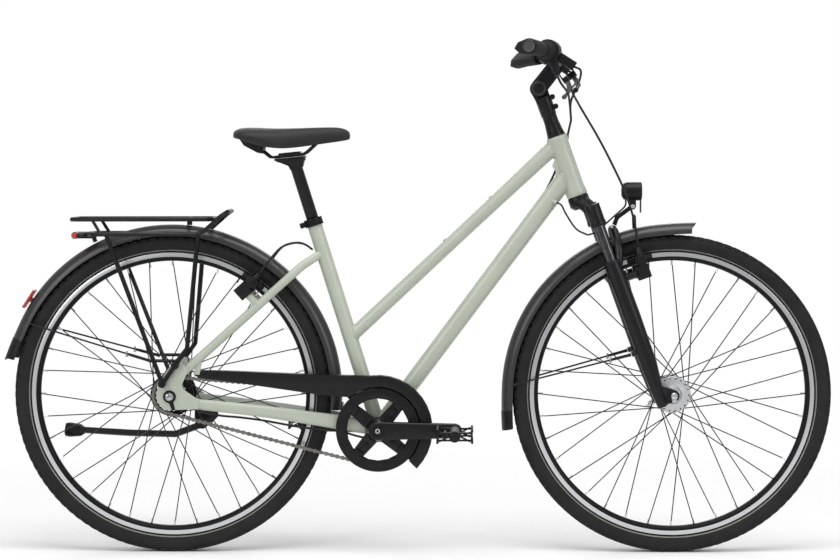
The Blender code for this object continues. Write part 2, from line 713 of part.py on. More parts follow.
def main_frame():
    lip = HEAD_TUBE_RADIUS + HEAD_LIP
    head_profile = [
        (0, 0),
        (lip, 0),
        (lip, 0.010),
        (HEAD_TUBE_RADIUS, 0.017),
        (HEAD_TUBE_RADIUS, HEAD_TUBE_LENGTH - 0.017),
        (lip, HEAD_TUBE_LENGTH - 0.010),
        (lip, HEAD_TUBE_LENGTH),
        (0, HEAD_TUBE_LENGTH),
    ]
    head = turned(head_profile[::-1], -STEER_DOWN, HEAD_BOTTOM, 16)
    down = DOWN_TUBE_RADIUS
    down_end = BRACKET
    middle = (DOWN_TUBE_START + down_end) / 2
    pieces = [
        oval_tube(
            [
                (DOWN_TUBE_START, down * 1.10, down * 0.94),
                (DOWN_TUBE_START.lerp(middle, 0.5), down * 1.04, down * 0.96),
                (middle, down, down),
                (middle.lerp(down_end, 0.7), down * 0.98, down * 1.08),
                (down_end, down * 0.96, down * 1.15),
            ],
            12,
            2.3,
        ),
        oval_tube(
            [
                (TOP_TUBE_START, TOP_TUBE_RADIUS * 1.16, TOP_TUBE_RADIUS * 1.05),
                (TOP_TUBE_START.lerp(TOP_TUBE_END, 0.4), TOP_TUBE_RADIUS, TOP_TUBE_RADIUS * 1.1),
                (TOP_TUBE_START.lerp(TOP_TUBE_END, 0.8), TOP_TUBE_RADIUS, TOP_TUBE_RADIUS),
                (TOP_TUBE_END, TOP_TUBE_RADIUS, TOP_TUBE_RADIUS * 0.9),
            ],
            10,
        ),
        cylinder(BRACKET, SEAT_TOP, SEAT_TUBE_RADIUS, sides=14),
        cylinder(
            BRACKET - ACROSS * BRACKET_SHELL_HALF_WIDTH,
            BRACKET + ACROSS * BRACKET_SHELL_HALF_WIDTH,
            BRACKET_SHELL_RADIUS,
            sides=16,
        ),
        rod([at(0.2880, 0.6370, -0.030), at(0.2880, 0.6370, 0.030)], 0.0060, 1),
    ]
    for port, way in ((LEFT_PORT, LEFT_PORT_WAY), (RIGHT_PORT, RIGHT_PORT_WAY)):
        pieces.append(cylinder(port - way * PORT_LENGTH, port, 0.0045, sides=8))
    gusset_reach = 0.0300
    corner = steering_point(-0.0720, -0.012)
    gusset = [
        xz(corner + STEER_DOWN * 0.038),
        xz(corner - STEER_DOWN * 0.030),
        xz(corner - STEER_DOWN * 0.008 - STEER_AHEAD * gusset_reach * 0.62),
        xz(corner + STEER_DOWN * 0.004 - STEER_AHEAD * gusset_reach * 0.50),
        xz(corner + STEER_DOWN * 0.014 - STEER_AHEAD * gusset_reach * 0.62),
    ]
    pieces.append(plate(gusset, -0.0110, 0.0110))
    bridge = polar(REAR_AXLE, MUDGUARD_RADIUS + 0.0066, math.radians(-7.0))
    pieces.append(rod([bridge - ACROSS * 0.034, bridge + ACROSS * 0.034], 0.0060, 1))
    tongue_thickness = 0.0030
    tongue_radius = MUDGUARD_RADIUS + CLEARANCE + tongue_thickness / 2
    tongue_angle = math.radians(-5.0)
    tongue = polar(REAR_AXLE, tongue_radius, tongue_angle)
    upward = polar(Vector(), 1, tongue_angle + math.pi / 2)
    tongue_size = (tongue_thickness, 0.0140, 0.0280)
    pieces.append(block(tongue_size, tongue, 0.0, upward, polar(Vector(), 1, tongue_angle)))
    for side in (RIGHT, LEFT):
        pieces.append(seat_stay(side))
        pieces.append(chain_stay(side))
        pieces.append(dropout(side))
        foot = REAR_BRAKE_BOSS + ACROSS * side * BRAKE_BOSS_SPREAD
        pieces.append(cylinder(foot, foot + STAY_NORMAL * REAR_BOSS_HEIGHT, 0.0085, sides=8))
    tab = [
        xz(GUARD_EYELET + Vector((-0.0060, 0, -0.0030))),
        xz(GUARD_EYELET + Vector((0.0060, 0, -0.0030))),
        xz(GUARD_EYELET + Vector((0.0150, 0, 0.0400))),
        xz(GUARD_EYELET + Vector((-0.0040, 0, 0.0310))),
    ]
    pieces.append(plate(tab, -CHAIN_GUARD_FACE - 0.0045, -CHAIN_GUARD_FACE - CLEARANCE))
    for along in (0.30, 0.52):
        spot = TOP_TUBE_START.lerp(TOP_TUBE_END, along)
        pieces.append(cylinder(spot, spot + Vector((-0.012, 0, 0.0130)), 0.0045, sides=6))
    bores = [
        cylinder(HEAD_TOP - STEER_DOWN * 0.01, HEAD_BOTTOM + STEER_DOWN * 0.01, HEAD_TUBE_BORE, sides=12),
        clear_bore(seat_point(0.030), SEAT_TOP + SEAT_UP * 0.01, POST_RADIUS, 12),
        cylinder(
            BRACKET - ACROSS * (BRACKET_SHELL_HALF_WIDTH + 0.01),
            BRACKET + ACROSS * (BRACKET_SHELL_HALF_WIDTH + 0.01),
            BRACKET_BORE,
            sides=16,
        ),
        axle_slot(RIGHT),
        axle_slot(LEFT),
        block((0.0500, 0.0030, 0.0300), seat_point(SEAT_TUBE_LENGTH, 0.018), direction=SEAT_BACK, up=SEAT_UP),
    ]
    return combined(head, pieces, bores)


part("main_frame", main_frame(), SAGE)

clamp_low = seat_point(SEAT_TUBE_LENGTH - 0.0160)
clamp_high = seat_point(SEAT_TUBE_LENGTH + 0.0010)
collar_outer = SEAT_TUBE_RADIUS + 0.0045
collar = combined(
    cylinder(clamp_low, clamp_high, collar_outer, sides=18),
    [
        block(
            (0.0120, 0.0170, 0.0130),
            seat_point(SEAT_TUBE_LENGTH - 0.0075, collar_outer + 0.0040),
            0.0,
            SEAT_BACK,
            SEAT_UP,
        )
    ],
    [
        cylinder(clamp_low - SEAT_UP * 0.01, clamp_high + SEAT_UP * 0.01, SEAT_TUBE_RADIUS + CLEARANCE * 2, sides=14),
        block((0.0400, 0.0030, 0.0300), seat_point(SEAT_TUBE_LENGTH, 0.026), direction=SEAT_BACK, up=SEAT_UP),
    ],
)
part("seat_clamp", collar, ANODISED)

bearing_outer = BRACKET_BORE - CLEARANCE
bearing_profile = [
    (BRACKET_SHELL_RADIUS - 0.001, BRACKET_SHELL_HALF_WIDTH + 0.0050),
    (BRACKET_SHELL_RADIUS - 0.001, BRACKET_SHELL_HALF_WIDTH + CLEARANCE),
    (bearing_outer, BRACKET_SHELL_HALF_WIDTH + CLEARANCE),
    (bearing_outer, -BRACKET_SHELL_HALF_WIDTH + 0.0010),
    (SPINDLE_RADIUS + RUNNING, -BRACKET_SHELL_HALF_WIDTH + 0.0010),
    (SPINDLE_RADIUS + RUNNING, BRACKET_SHELL_HALF_WIDTH + 0.0050),
]
part("bottom_bracket", turned(bearing_profile, -ACROSS, BRACKET, 16, True), ANODISED)



def rear_axle():
    """The axle with its nuts outside the dropouts and its locknuts inside them."""
    nut = DROPOUT_OUTER + CLEARANCE
    lock = REAR_SPACING - CLEARANCE
    outside = [(0, nut + 0.0150), (0.0075, nut + 0.0140), (0.0095, nut + 0.0070)]
    outside += [(0.0115, nut + 0.0020), (0.0115, nut), (REAR_AXLE_RADIUS, nut)]
    profile = outside + [(REAR_AXLE_RADIUS, lock), (0.0095, lock)]
    left_step = rear_hub_half_length + CLEARANCE
    profile += [(0.0095, left_step), (REAR_AXLE_RADIUS, left_step)]
    profile += [(REAR_AXLE_RADIUS, -DRIVER_END - CLEARANCE), (0.0095, -DRIVER_END - CLEARANCE)]
    profile += [(0.0095, -lock), (REAR_AXLE_RADIUS, -lock)]
    profile += [(radius, -y) for radius, y in reversed(outside)]
    return turned(profile, ACROSS, REAR_AXLE, 10)


part("rear_axle", rear_axle(), POLISHED)


# Mudguards
def mudguard(centre, start, end, kicks, slants, step=7.5):
    """A curved strip round the wheel. kicks flare its two ends outward, slants cut their sides back."""
    count = max(2, round(math.degrees(abs(end - start)) / step))
    opening = math.radians(78)
    sections = []
    for index in range(count + 1):
        angle = start + (end - start) * index / count
        nearness = [max(0.0, 1 - abs(angle - edge) / math.radians(14)) for edge in (start, end)]
        lift = sum(kick * near ** 2 for kick, near in zip(kicks, nearness))
        slant = slants[0] * (index == 0) + slants[1] * (index == count)
        loop = []
        for wall, order in ((0.0, range(-2, 3)), (MUDGUARD_WALL, range(2, -3, -1))):
            for k in order:
                bend = opening * k / 2
                y = (MUDGUARD_HALF_WIDTH - wall) * math.sin(bend) / math.sin(opening)
                fall = MUDGUARD_DEPTH * (1 - math.cos(bend)) / (1 - math.cos(opening))
                inward = wall if abs(k) < 2 else 0.0
                turned_back = angle + slant * fall / MUDGUARD_DEPTH
                loop.append(polar(centre, MUDGUARD_RADIUS + lift - fall - inward, turned_back, y))
        sections.append(loop)
    return loft(sections)


rear_guard = mudguard(REAR_AXLE, REAR_MUDGUARD_END, REAR_MUDGUARD_TIP, (0.0, FLAP_KICK), (0.0, -FLAP_SLANT))
part("rear_mudguard", rear_guard, GREY_PLASTIC)
front_kicks = (FLAP_KICK, FLAP_KICK)
front_guard = mudguard(FRONT_AXLE, FRONT_MUDGUARD_TIP, FRONT_MUDGUARD_END, front_kicks, (FLAP_SLANT, 0.0))
part("front_mudguard", front_guard, GREY_PLASTIC, suspension)


def mudguard_stay(centre, clip_angle, foot, knee):
    """One wire bent round the mudguard's inside, with a foot on each side of the wheel."""
    under_radius = MUDGUARD_RADIUS - MUDGUARD_WALL - STAY_WIRE_RADIUS - 0.0044
    edge_radius = MUDGUARD_RADIUS - MUDGUARD_DEPTH - STAY_WIRE_RADIUS - 0.0022
    half = [polar(centre, under_radius, clip_angle, MUDGUARD_HALF_WIDTH * 0.36)]
    half.append(polar(centre, edge_radius, clip_angle, MUDGUARD_HALF_WIDTH - MUDGUARD_WALL))
    half.append(half[1].lerp(foot, knee))
    half.append(foot)
    mirrored = [Vector((p.x, -p.y, p.z)) for p in reversed(half)]
    return rod(mirrored + half, STAY_WIRE_RADIUS, 1)


def rack_strut_point(share):
    """A point on the left rear strut's axis, from its foot up to the lower rail."""
    foot = Vector((RACK_FOOT.x, RACK_FOOT_SPREAD, RACK_FOOT.z))
    return foot.lerp(at(-0.1387, LOWER_RAIL_HEIGHT, RACK_RAIL_SPREAD), share)


rear_foot = rack_strut_point(0.150)
rear_foot += Vector((-0.75, -0.66, 0)) * (RACK_TUBE_RADIUS + STAY_WIRE_RADIUS + CLEARANCE)
rear_stay = mudguard_stay(REAR_AXLE, math.radians(153.5), rear_foot, 0.55)
part("rear_mudguard_stay", rear_stay, BLACK_PAINT)
stay_screw = -0.0060 - CLEARANCE - 0.0010
front_foot = steering_point(STAY_BOSS_DEPTH, stay_screw, LEG_SPREAD)
front_stay = mudguard_stay(FRONT_AXLE, math.radians(176.6), front_foot, 0.55)
part("front_mudguard_stay", front_stay, BLACK_PAINT, suspension)

reflector_angle = math.radians(146.5)
reflector_base = polar(REAR_AXLE, MUDGUARD_RADIUS + CLEARANCE, reflector_angle)
reflector_out = polar(Vector(), 1, reflector_angle)
along_guard = Vector((-math.sin(reflector_angle), 0, math.cos(reflector_angle)))
reflector = combined(
    block((0.0480, 0.0300, 0.0060), reflector_base + reflector_out * 0.0068, 0.002, reflector_out, along_guard),
    [cylinder(reflector_base, reflector_base + reflector_out * 0.006, 0.0060, sides=10)],
)
part("rear_reflector", reflector, RED_LENS)


# Fork
def fork_upper():
    crown_top = CLEARANCE + CROWN_BELOW_HEAD
    profile = [
        (0, 0.0300),
        (0.0160, 0.0300),
        (0.0235, 0.0220),
        (0.0235, crown_top),
        (0.0215, CLEARANCE),
        (STEERER_RADIUS, CLEARANCE),
        (STEERER_RADIUS, -HEAD_TUBE_LENGTH - STEERER_ABOVE),
        (0, -HEAD_TUBE_LENGTH - STEERER_ABOVE),
    ]
    crown = turned(profile, STEER_DOWN, HEAD_BOTTOM, 16)
    pieces = []
    for side in (RIGHT, LEFT):
        stations = [
            (steering_point(0.0165, 0.004, 0.0), 0.0130, 0.0200),
            (steering_point(0.0200, 0.007, side * 0.0220), 0.0125, 0.0190),
            (steering_point(0.0330, LEG_OFFSET * 0.75, side * 0.0450), 0.0120, 0.0175),
            (steering_point(0.0450, LEG_OFFSET, side * 0.0560), 0.0110, 0.0160),
        ]
        pieces.append(crown_arm(stations))
        top = steering_point(0.0280, LEG_OFFSET, side * LEG_SPREAD)
        mouth = steering_point(CROWN_DEPTH, LEG_OFFSET, side * LEG_SPREAD)
        end = steering_point((LEG_TOP_DEPTH + STANCHION_OVERLAP), LEG_OFFSET, side * LEG_SPREAD)
        pieces.append(cylinder(top, mouth, 0.0172, sides=14))
        pieces.append(cylinder(top + STEER_DOWN * 0.004, end, STANCHION_RADIUS, sides=14))
    return combined(crown, pieces)


def crown_arm(stations):
    """A loft across the crown, whose sections stand along the steering axis."""
    sections = []
    for centre, height, depth in stations:
        loop = []
        for k in range(8):
            angle = 2 * math.pi * k / 8
            loop.append(centre + STEER_DOWN * height * math.sin(angle) + STEER_AHEAD * depth * math.cos(angle))
        sections.append(loop)
    return loft(sections)


def fork_lowers():
    pieces = []
    for side in (RIGHT, LEFT):
        legs = []
        for depth, fore, width, shift in (
            (LEG_TOP_DEPTH, 0.0184, 0.0174, 0.0),
            (LEG_TOP_DEPTH + 0.0120, 0.0184, 0.0174, 0.0),
            (LEG_TOP_DEPTH + 0.0350, 0.0190, 0.0175, 0.001),
            (LEG_TOP_DEPTH + 0.1300, 0.0195, 0.0175, 0.002),
            (LEG_TOP_DEPTH + 0.2400, 0.0190, 0.0165, 0.002),
            (LEG_BOTTOM_DEPTH - 0.0300, 0.0135, 0.0140, 0.0),
            (LEG_BOTTOM_DEPTH, 0.0105, 0.0120, 0.0),
        ):
            centre = steering_point(depth, LEG_OFFSET + shift, side * LEG_SPREAD)
            legs.append([
                centre + STEER_AHEAD * fore * math.cos(2 * math.pi * k / 12)
                + ACROSS * width * math.sin(2 * math.pi * k / 12)
                for k in range(12)
            ])
        leg = loft(legs)
        pieces.append(leg)
        axle = xz(FRONT_AXLE)
        foot_top = steering_point(LEG_BOTTOM_DEPTH - 0.0480, LEG_OFFSET + 0.0080)
        foot_low = steering_point(LEG_BOTTOM_DEPTH - 0.0020, LEG_OFFSET - 0.0060)
        outline = [xz(foot_low), xz(foot_top)] + arc(axle, 0.0135, 75, -80, 6)
        low, high = sorted((side * FRONT_SPACING, side * (FRONT_SPACING + FRONT_DROPOUT)))
        pieces.append(plate(outline, low, high))
        boss_depth = FRONT_BRAKE_DEPTH
        boss = steering_point(boss_depth, LEG_OFFSET + 0.0120, side * LEG_SPREAD)
        tip = steering_point(boss_depth, FRONT_BOSS_AHEAD, side * LEG_SPREAD)
        pieces.append(cylinder(boss, tip, 0.0085, sides=8))
        stay_boss = steering_point(STAY_BOSS_DEPTH, LEG_OFFSET - 0.0150, side * LEG_SPREAD)
        pieces.append(cylinder(stay_boss, stay_boss - STEER_AHEAD * 0.0110, 0.0060, sides=8))
    half_arch = [(0.0580, 0.1730, 0.0320), (0.0555, 0.1450, 0.0420), (0.0470, 0.1180, 0.0480)]
    half_arch += [(0.0330, 0.1010, 0.0490), (0.0150, 0.0970, 0.0490)]
    arch = [steering_point(depth, ahead, -y) for y, depth, ahead in half_arch]
    arch += [steering_point(depth, ahead, y) for y, depth, ahead in reversed(half_arch)]
    pieces.append(rod(arch, ARCH_RADIUS, 2))
    arch_middle = steering_point(0.0970, 0.0490) - FRONT_AXLE
    arch_angle = math.atan2(arch_middle.z, arch_middle.x)
    seat = polar(FRONT_AXLE, MUDGUARD_RADIUS + CLEARANCE + 0.0030, arch_angle)
    radial = polar(Vector(), 1, arch_angle)
    pieces.append(block((0.0060, 0.0180, 0.0200), seat, 0.0, radial.cross(ACROSS), radial))
    bores = []
    for side in (RIGHT, LEFT):
        start = steering_point(LEG_TOP_DEPTH - 0.03, LEG_OFFSET, side * LEG_SPREAD)
        end = steering_point((LEG_TOP_DEPTH + STANCHION_OVERLAP) + FORK_TRAVEL + 0.006, LEG_OFFSET, side * LEG_SPREAD)
        bores.append(clear_bore(start, end, STANCHION_RADIUS, 14))
    axle = xz(FRONT_AXLE)
    slot = arc(axle, 0.0052, 10, 190, 6)
    slot += [(axle[0] - 0.0052 + 0.004, axle[1] - 0.0200), (axle[0] + 0.0052 + 0.004, axle[1] - 0.0200)]
    for side in (RIGHT, LEFT):
        low, high = sorted((side * (FRONT_SPACING - 0.002), side * (FRONT_SPACING + FRONT_DROPOUT + 0.002)))
        bores.append(plate(slot, low, high))
    return combined(pieces[0], pieces[1:], bores)


part("fork_upper", fork_upper(), BLACK_PAINT, steering)
part("fork_lowers", fork_lowers(), BLACK_PAINT, suspension)
# Front wheel's skewer, mudguard and lamp fittings
front_outer = FRONT_SPACING + FRONT_DROPOUT + CLEARANCE
cam_height = front_outer + 0.0120
skewer_profile = [
    (0, -front_outer - 0.0120),
    (0.0060, -front_outer - 0.0115),
    (0.0088, -front_outer - 0.0080),
    (0.0088, -front_outer),
    (AXLE_RADIUS, -front_outer),
    (AXLE_RADIUS, front_outer),
    (0.0092, front_outer),
    (0.0092, cam_height - CAM_RADIUS - RUNNING),
    (0, cam_height - CAM_RADIUS - RUNNING),
]
LEVER_DIRECTION = Vector((-0.80, 0, -0.60))
LEVER_AXIS = LEVER_DIRECTION.cross(ACROSS)
cam_centre = FRONT_AXLE + ACROSS * cam_height
cam_cheeks = []
for way in (-1, 1):
    cheek = cam_centre + LEVER_AXIS * way * (CAM_HALF_LENGTH + CLEARANCE + CAM_CHEEK / 2)
    cheek -= ACROSS * 0.0020
    cam_cheeks.append(block((0.0070, CAM_CHEEK, 0.0110), cheek, 0.0, ACROSS, LEVER_DIRECTION))
front_skewer = combined(turned(skewer_profile, ACROSS, FRONT_AXLE, 10), cam_cheeks)
part("front_skewer", front_skewer, POLISHED, suspension)
quick_release = carrier("qr_axis", cam_centre, suspension)


def qr_lever():
    """A curved hand lever round the skewer's head."""
    half = LEVER_AXIS * CAM_HALF_LENGTH
    cam = cylinder(cam_centre - half, cam_centre + half, CAM_RADIUS, sides=12)
    arm = []
    for reach, out, height, width in (
        (0.0040, 0.0010, 0.0050, 0.0030),
        (0.0180, 0.0052, 0.0058, 0.0024),
        (0.0380, 0.0056, 0.0070, 0.0022),
        (0.0540, 0.0050, 0.0062, 0.0020),
        (0.0600, 0.0046, 0.0035, 0.0016),
    ):
        arm.append((cam_centre + LEVER_DIRECTION * reach + ACROSS * out, height, width))
    return combined(cam, [oval_tube(arm, 6)])


part("qr_lever", qr_lever(), POLISHED, quick_release)

lamp_pivot = at(1.0227, 0.7704)
arch_centre = steering_point(0.0970, 0.0490)
bracket_knee = at(0.9889, 0.7460)
bracket_foot = arch_centre + (bracket_knee - arch_centre).normalized() * (ARCH_RADIUS + CLEARANCE + 0.0002)


def strip(points, half_width, low, high):
    """A flat bar of even width along points of the side view."""
    left, right = [], []
    for index, point in enumerate(points):
        before = points[max(index - 1, 0)]
        after = points[min(index + 1, len(points) - 1)]
        along = (after - before).normalized()
        across = Vector((-along.z, 0, along.x)) * half_width
        left.append(xz(point + across))
        right.append(xz(point - across))
    return plate(left + right[::-1], low, high)


lamp_bracket = combined(
    strip([bracket_foot, bracket_knee, lamp_pivot], 0.0048, -0.0050, 0.0050),
    [
        cylinder(lamp_pivot - ACROSS * 0.0050, lamp_pivot + ACROSS * 0.0050, 0.0078, sides=12),
        cylinder(bracket_knee - ACROSS * 0.0080, bracket_knee + ACROSS * 0.0080, 0.0055, sides=10),
        cylinder(lamp_pivot - ACROSS * 0.0105, lamp_pivot + ACROSS * 0.0105, 0.0024, sides=8),
    ],
)
part("lamp_bracket", lamp_bracket, BLACK_PAINT, suspension)

LAMP_RADIUS = 0.0206
lamp_rear = at(0.9975, 0.8035)
lamp_front = at(1.0410, 0.8035)
headlamp_group = carrier("headlamp_axis", lamp_pivot, suspension)
lamp_length = (lamp_front - lamp_rear).length


def headlamp():
    profile = [
        (0, 0),
        (LAMP_RADIUS * 0.55, 0.0010),
        (LAMP_RADIUS * 0.88, 0.0055),
        (LAMP_RADIUS, 0.0130),
        (LAMP_RADIUS, lamp_length),
        (LAMP_RADIUS - 0.0020, lamp_length + 0.0020),
        (LAMP_RADIUS - 0.0030, lamp_length + 0.0020),
        (LAMP_RADIUS - 0.0030, lamp_length - 0.0040),
        (0, lamp_length - 0.0120),
    ]
    body = turned(profile, lamp_front - lamp_rear, lamp_rear, 16)
    ears = []
    for side in (RIGHT, LEFT):
        low, high = sorted((side * 0.0053, side * 0.0083))
        outline = [(lamp_pivot.x - 0.0075, lamp_rear.z - 0.0150), (lamp_pivot.x + 0.0075, lamp_rear.z - 0.0150)]
        outline += arc(xz(lamp_pivot), 0.0075, 0, -180, 6)
        ears.append(plate(outline, low, high))
    fin = block((0.0020, 0.0240, 0.0290), at(1.0405, 0.7708))
    pin = cylinder(lamp_pivot - ACROSS * 0.02, lamp_pivot + ACROSS * 0.02, 0.0027, sides=8)
    return combined(body, ears + [fin], [pin])


part("headlamp", headlamp(), BLACK_PLASTIC, headlamp_group)
lens_profile = [
    (0, lamp_length - 0.0120 + 0.0006),
    (LAMP_RADIUS - 0.0033, lamp_length - 0.0040 + 0.0008),
    (LAMP_RADIUS - 0.0033, lamp_length + 0.0012),
    (LAMP_RADIUS * 0.5, lamp_length + 0.0022),
    (0, lamp_length + 0.0026),
]
lens = turned(lens_profile[::-1], lamp_front - lamp_rear, lamp_rear, 16)
part("headlamp_lens", lens, CLEAR_LENS, headlamp_group)


# Drive
def toothed_outline(teeth, centre, phase):
    """Outline points of a chain wheel, with a valley and two tip corners for each tooth."""
    pitch_radius = CHAIN_PITCH / (2 * math.sin(math.pi / teeth))
    step = 2 * math.pi / teeth
    points = []
    for k in range(teeth):
        for share, radius in ((0.0, pitch_radius - ROOT_DEPTH), (0.36, pitch_radius - TIP_DEPTH), (0.64, pitch_radius - TIP_DEPTH)):
            angle = phase + step * (k + share)
            points.append((centre.x + radius * math.cos(angle), centre.z + radius * math.sin(angle)))
    return points


tooth_low = -CHAIN_LINE - TOOTH_THICKNESS / 2
tooth_high = -CHAIN_LINE + TOOTH_THICKNESS / 2
cog = combined(
    plate(toothed_outline(SPROCKET_TEETH, REAR_AXLE, 0.0), tooth_low, tooth_high),
    [cylinder(REAR_AXLE - ACROSS * DRIVER_END, REAR_AXLE + ACROSS * (tooth_low + 0.0004), 0.0150, DRIVER_RADIUS, 16)],
    [cylinder(REAR_AXLE - ACROSS * 0.07, REAR_AXLE - ACROSS * 0.03, REAR_AXLE_RADIUS + RUNNING, sides=12)],
)
sprocket_group = carrier("sprocket_axis", REAR_AXLE)
part("rear_sprocket", cog, STEEL, sprocket_group)


def chainring():
    ring_inner = arc(xz(BRACKET), RING_INNER, 0, 342, 19)
    toothed = plate(toothed_outline(RING_TEETH, BRACKET, 0.0), tooth_low, tooth_high, [ring_inner])
    guard = ring(
        BRACKET - ACROSS * (GUARD_RING_FACE + 0.0028),
        BRACKET - ACROSS * GUARD_RING_FACE,
        GUARD_RING_OUTER,
        GUARD_RING_INNER,
        28,
    )
    lugs = []
    lug_face = -GUARD_RING_FACE - 0.0020
    lug_root = tooth_high - 0.0004
    for k in range(4):
        angle = SPIDER_ANGLE + math.pi / 2 * k
        centre = polar(BRACKET, (RING_INNER + LUG_OUTER) / 2, angle, (lug_face + lug_root) / 2)
        outward = polar(Vector(), 1, angle)
        size = (LUG_WIDTH, lug_root - lug_face, LUG_OUTER - RING_INNER)
        lugs.append(block(size, centre, 0.0, outward, outward.cross(ACROSS)))
    return combined(toothed, [guard] + lugs)


part("chainring", chainring(), BLACK_PLASTIC, crankset)


def crank_arm(side, angle):
    """An arm from a round boss on the axle to the pedal's eye, chamfered on its outer face."""
    reach = Vector((math.cos(angle), 0, math.sin(angle)))
    heading = math.degrees(angle)
    eye = BRACKET + reach * CRANK_LENGTH
    outer = CRANK_INNER + CRANK_THICKNESS
    levels = ((CRANK_INNER, 0.0), (outer - 0.0030, 0.0), (outer, 0.0030))
    sections = []
    for y, inset in levels:
        outline = arc(xz(BRACKET), CRANK_BOSS_RADIUS - inset, heading + 90, heading + 270, 8)
        outline += arc(xz(eye), CRANK_EYE_RADIUS - inset, heading - 80, heading + 80, 6)
        sections.append([Vector((x, side * y, z)) for x, z in outline])
    return loft(sections)


def crank_right():
    spider_face = -tooth_low + CLEARANCE * 2
    pieces = [
        cylinder(BRACKET - ACROSS * 0.066, BRACKET + ACROSS * (CRANK_INNER + CRANK_THICKNESS - 0.0020), SPINDLE_RADIUS, sides=12),
        cylinder(BRACKET - ACROSS * spider_face, BRACKET - ACROSS * 0.066, 0.0290, 0.0200, 14),
    ]
    for k in range(4):
        heading = math.degrees(SPIDER_ANGLE) + 90 * k
        outline = arc(xz(BRACKET), 0.0220, heading + 48, heading + 312, 4)
        outline += arc(xz(BRACKET), RING_INNER - CLEARANCE, heading - 11, heading + 11, 2)
        pieces.append(plate(outline, -spider_face - SPIDER_THICKNESS, -spider_face))
    return combined(crank_arm(RIGHT, 0.0), pieces)


part("crank_right", crank_right(), BLACK_PAINT, crankset)
crank_left = combined(
    crank_arm(LEFT, math.pi),
    cut=[clear_bore(BRACKET + ACROSS * 0.05, BRACKET + ACROSS * 0.09, SPINDLE_RADIUS, 12)],
)
part("crank_left", crank_left, BLACK_PAINT, crankset)


def pedal(side):
    """A cage with two open windows round a bearing tube."""
    axle = BRACKET + Vector((-side * CRANK_LENGTH, 0, 0))
    inner = CRANK_INNER + CRANK_THICKNESS + CLEARANCE
    near = inner + 0.0140
    middle = near + PEDAL_WIDTH / 2
    body = block((PEDAL_LENGTH, PEDAL_WIDTH, PEDAL_HEIGHT), axle + ACROSS * side * middle, 0.0030)
    windows = []
    for end in (-1, 1):
        window = Vector((end * PEDAL_LENGTH * 0.25, side * middle, 0))
        windows.append(block((PEDAL_LENGTH * 0.30, PEDAL_WIDTH * 0.68, 0.06), axle + window))
    core = [
        cylinder(axle + ACROSS * side * inner, axle + ACROSS * side * (near + 0.006), 0.0085, 0.0110, 12),
        cylinder(axle + ACROSS * side * near, axle + ACROSS * side * (near + PEDAL_WIDTH - 0.004), 0.0140, sides=12),
    ]
    treads = []
    for end in (-1, 1):
        for level in (-1, 1):
            spot = Vector((end * PEDAL_LENGTH * 0.44, side * middle, level * PEDAL_HEIGHT / 2))
            treads.append(block((0.0060, PEDAL_WIDTH * 0.86, 0.0050), axle + spot))
    return combined(body, core + treads, windows)


for pedal_side, pedal_name in ((RIGHT, "right"), (LEFT, "left")):
    spot = BRACKET + Vector((-pedal_side * CRANK_LENGTH, pedal_side * (CRANK_INNER + CRANK_THICKNESS), 0))
    pedal_group = carrier("pedal_axis_" + pedal_name, spot, crankset)
    part("pedal_" + pedal_name, pedal(pedal_side), BLACK_PLASTIC, pedal_group)


def chain_path():
    """Pin centres of the closed chain round both chain wheels."""
    span = BRACKET - REAR_AXLE
    distance = math.hypot(span.x, span.z)
    tilt = math.atan2(span.z, span.x)
    ring_radius = CHAIN_PITCH / (2 * math.sin(math.pi / RING_TEETH))
    cog_radius = CHAIN_PITCH / (2 * math.sin(math.pi / SPROCKET_TEETH))
    lean = math.asin((ring_radius - cog_radius) / distance)
    straight = distance * math.cos(lean)
    ring_wrap = ring_radius * (math.pi + 2 * lean)
    cog_wrap = cog_radius * (math.pi - 2 * lean)
    total = 2 * straight + ring_wrap + cog_wrap
    count = round(total / CHAIN_PITCH)
    pins = []
    for k in range(count):
        travelled = total * k / count
        if travelled < ring_wrap:
            angle = tilt + math.pi / 2 + lean - travelled / ring_radius
            pins.append(polar(BRACKET, ring_radius, angle))
            continue
        travelled -= ring_wrap
        low_angle = tilt - math.pi / 2 - lean
        if travelled < straight:
            start = polar(BRACKET, ring_radius, low_angle)
            pins.append(start.lerp(polar(REAR_AXLE, cog_radius, low_angle), travelled / straight))
            continue
        travelled -= straight
        if travelled < cog_wrap:
            pins.append(polar(REAR_AXLE, cog_radius, low_angle - travelled / cog_radius))
            continue
        travelled -= cog_wrap
        high_angle = tilt + math.pi / 2 + lean
        start = polar(REAR_AXLE, cog_radius, high_angle)
        pins.append(start.lerp(polar(BRACKET, ring_radius, high_angle), travelled / straight))
    return pins


def chain():
    every = chain_path()
    pins = []
    for index, pin in enumerate(every):
        arriving = pin - every[index - 1]
        leaving = every[(index + 1) % len(every)] - pin
        if arriving.angle(leaving) > 0.001:
            pins.append(pin)
    sections = []
    for index, pin in enumerate(pins):
        along = (pins[(index + 1) % len(pins)] - pins[index - 1]).normalized()
        up = along.cross(ACROSS)
        loop = []
        for rise, y in ((-1, -1), (-1, 1), (1, 1), (1, -1)):
            loop.append(pin + up * CHAIN_HALF_HEIGHT * rise + ACROSS * (CHAIN_HALF_WIDTH * y - CHAIN_LINE))
        sections.append(loop)
    return loft(sections, closed=True)


part("chain", chain(), CHAIN_STEEL)


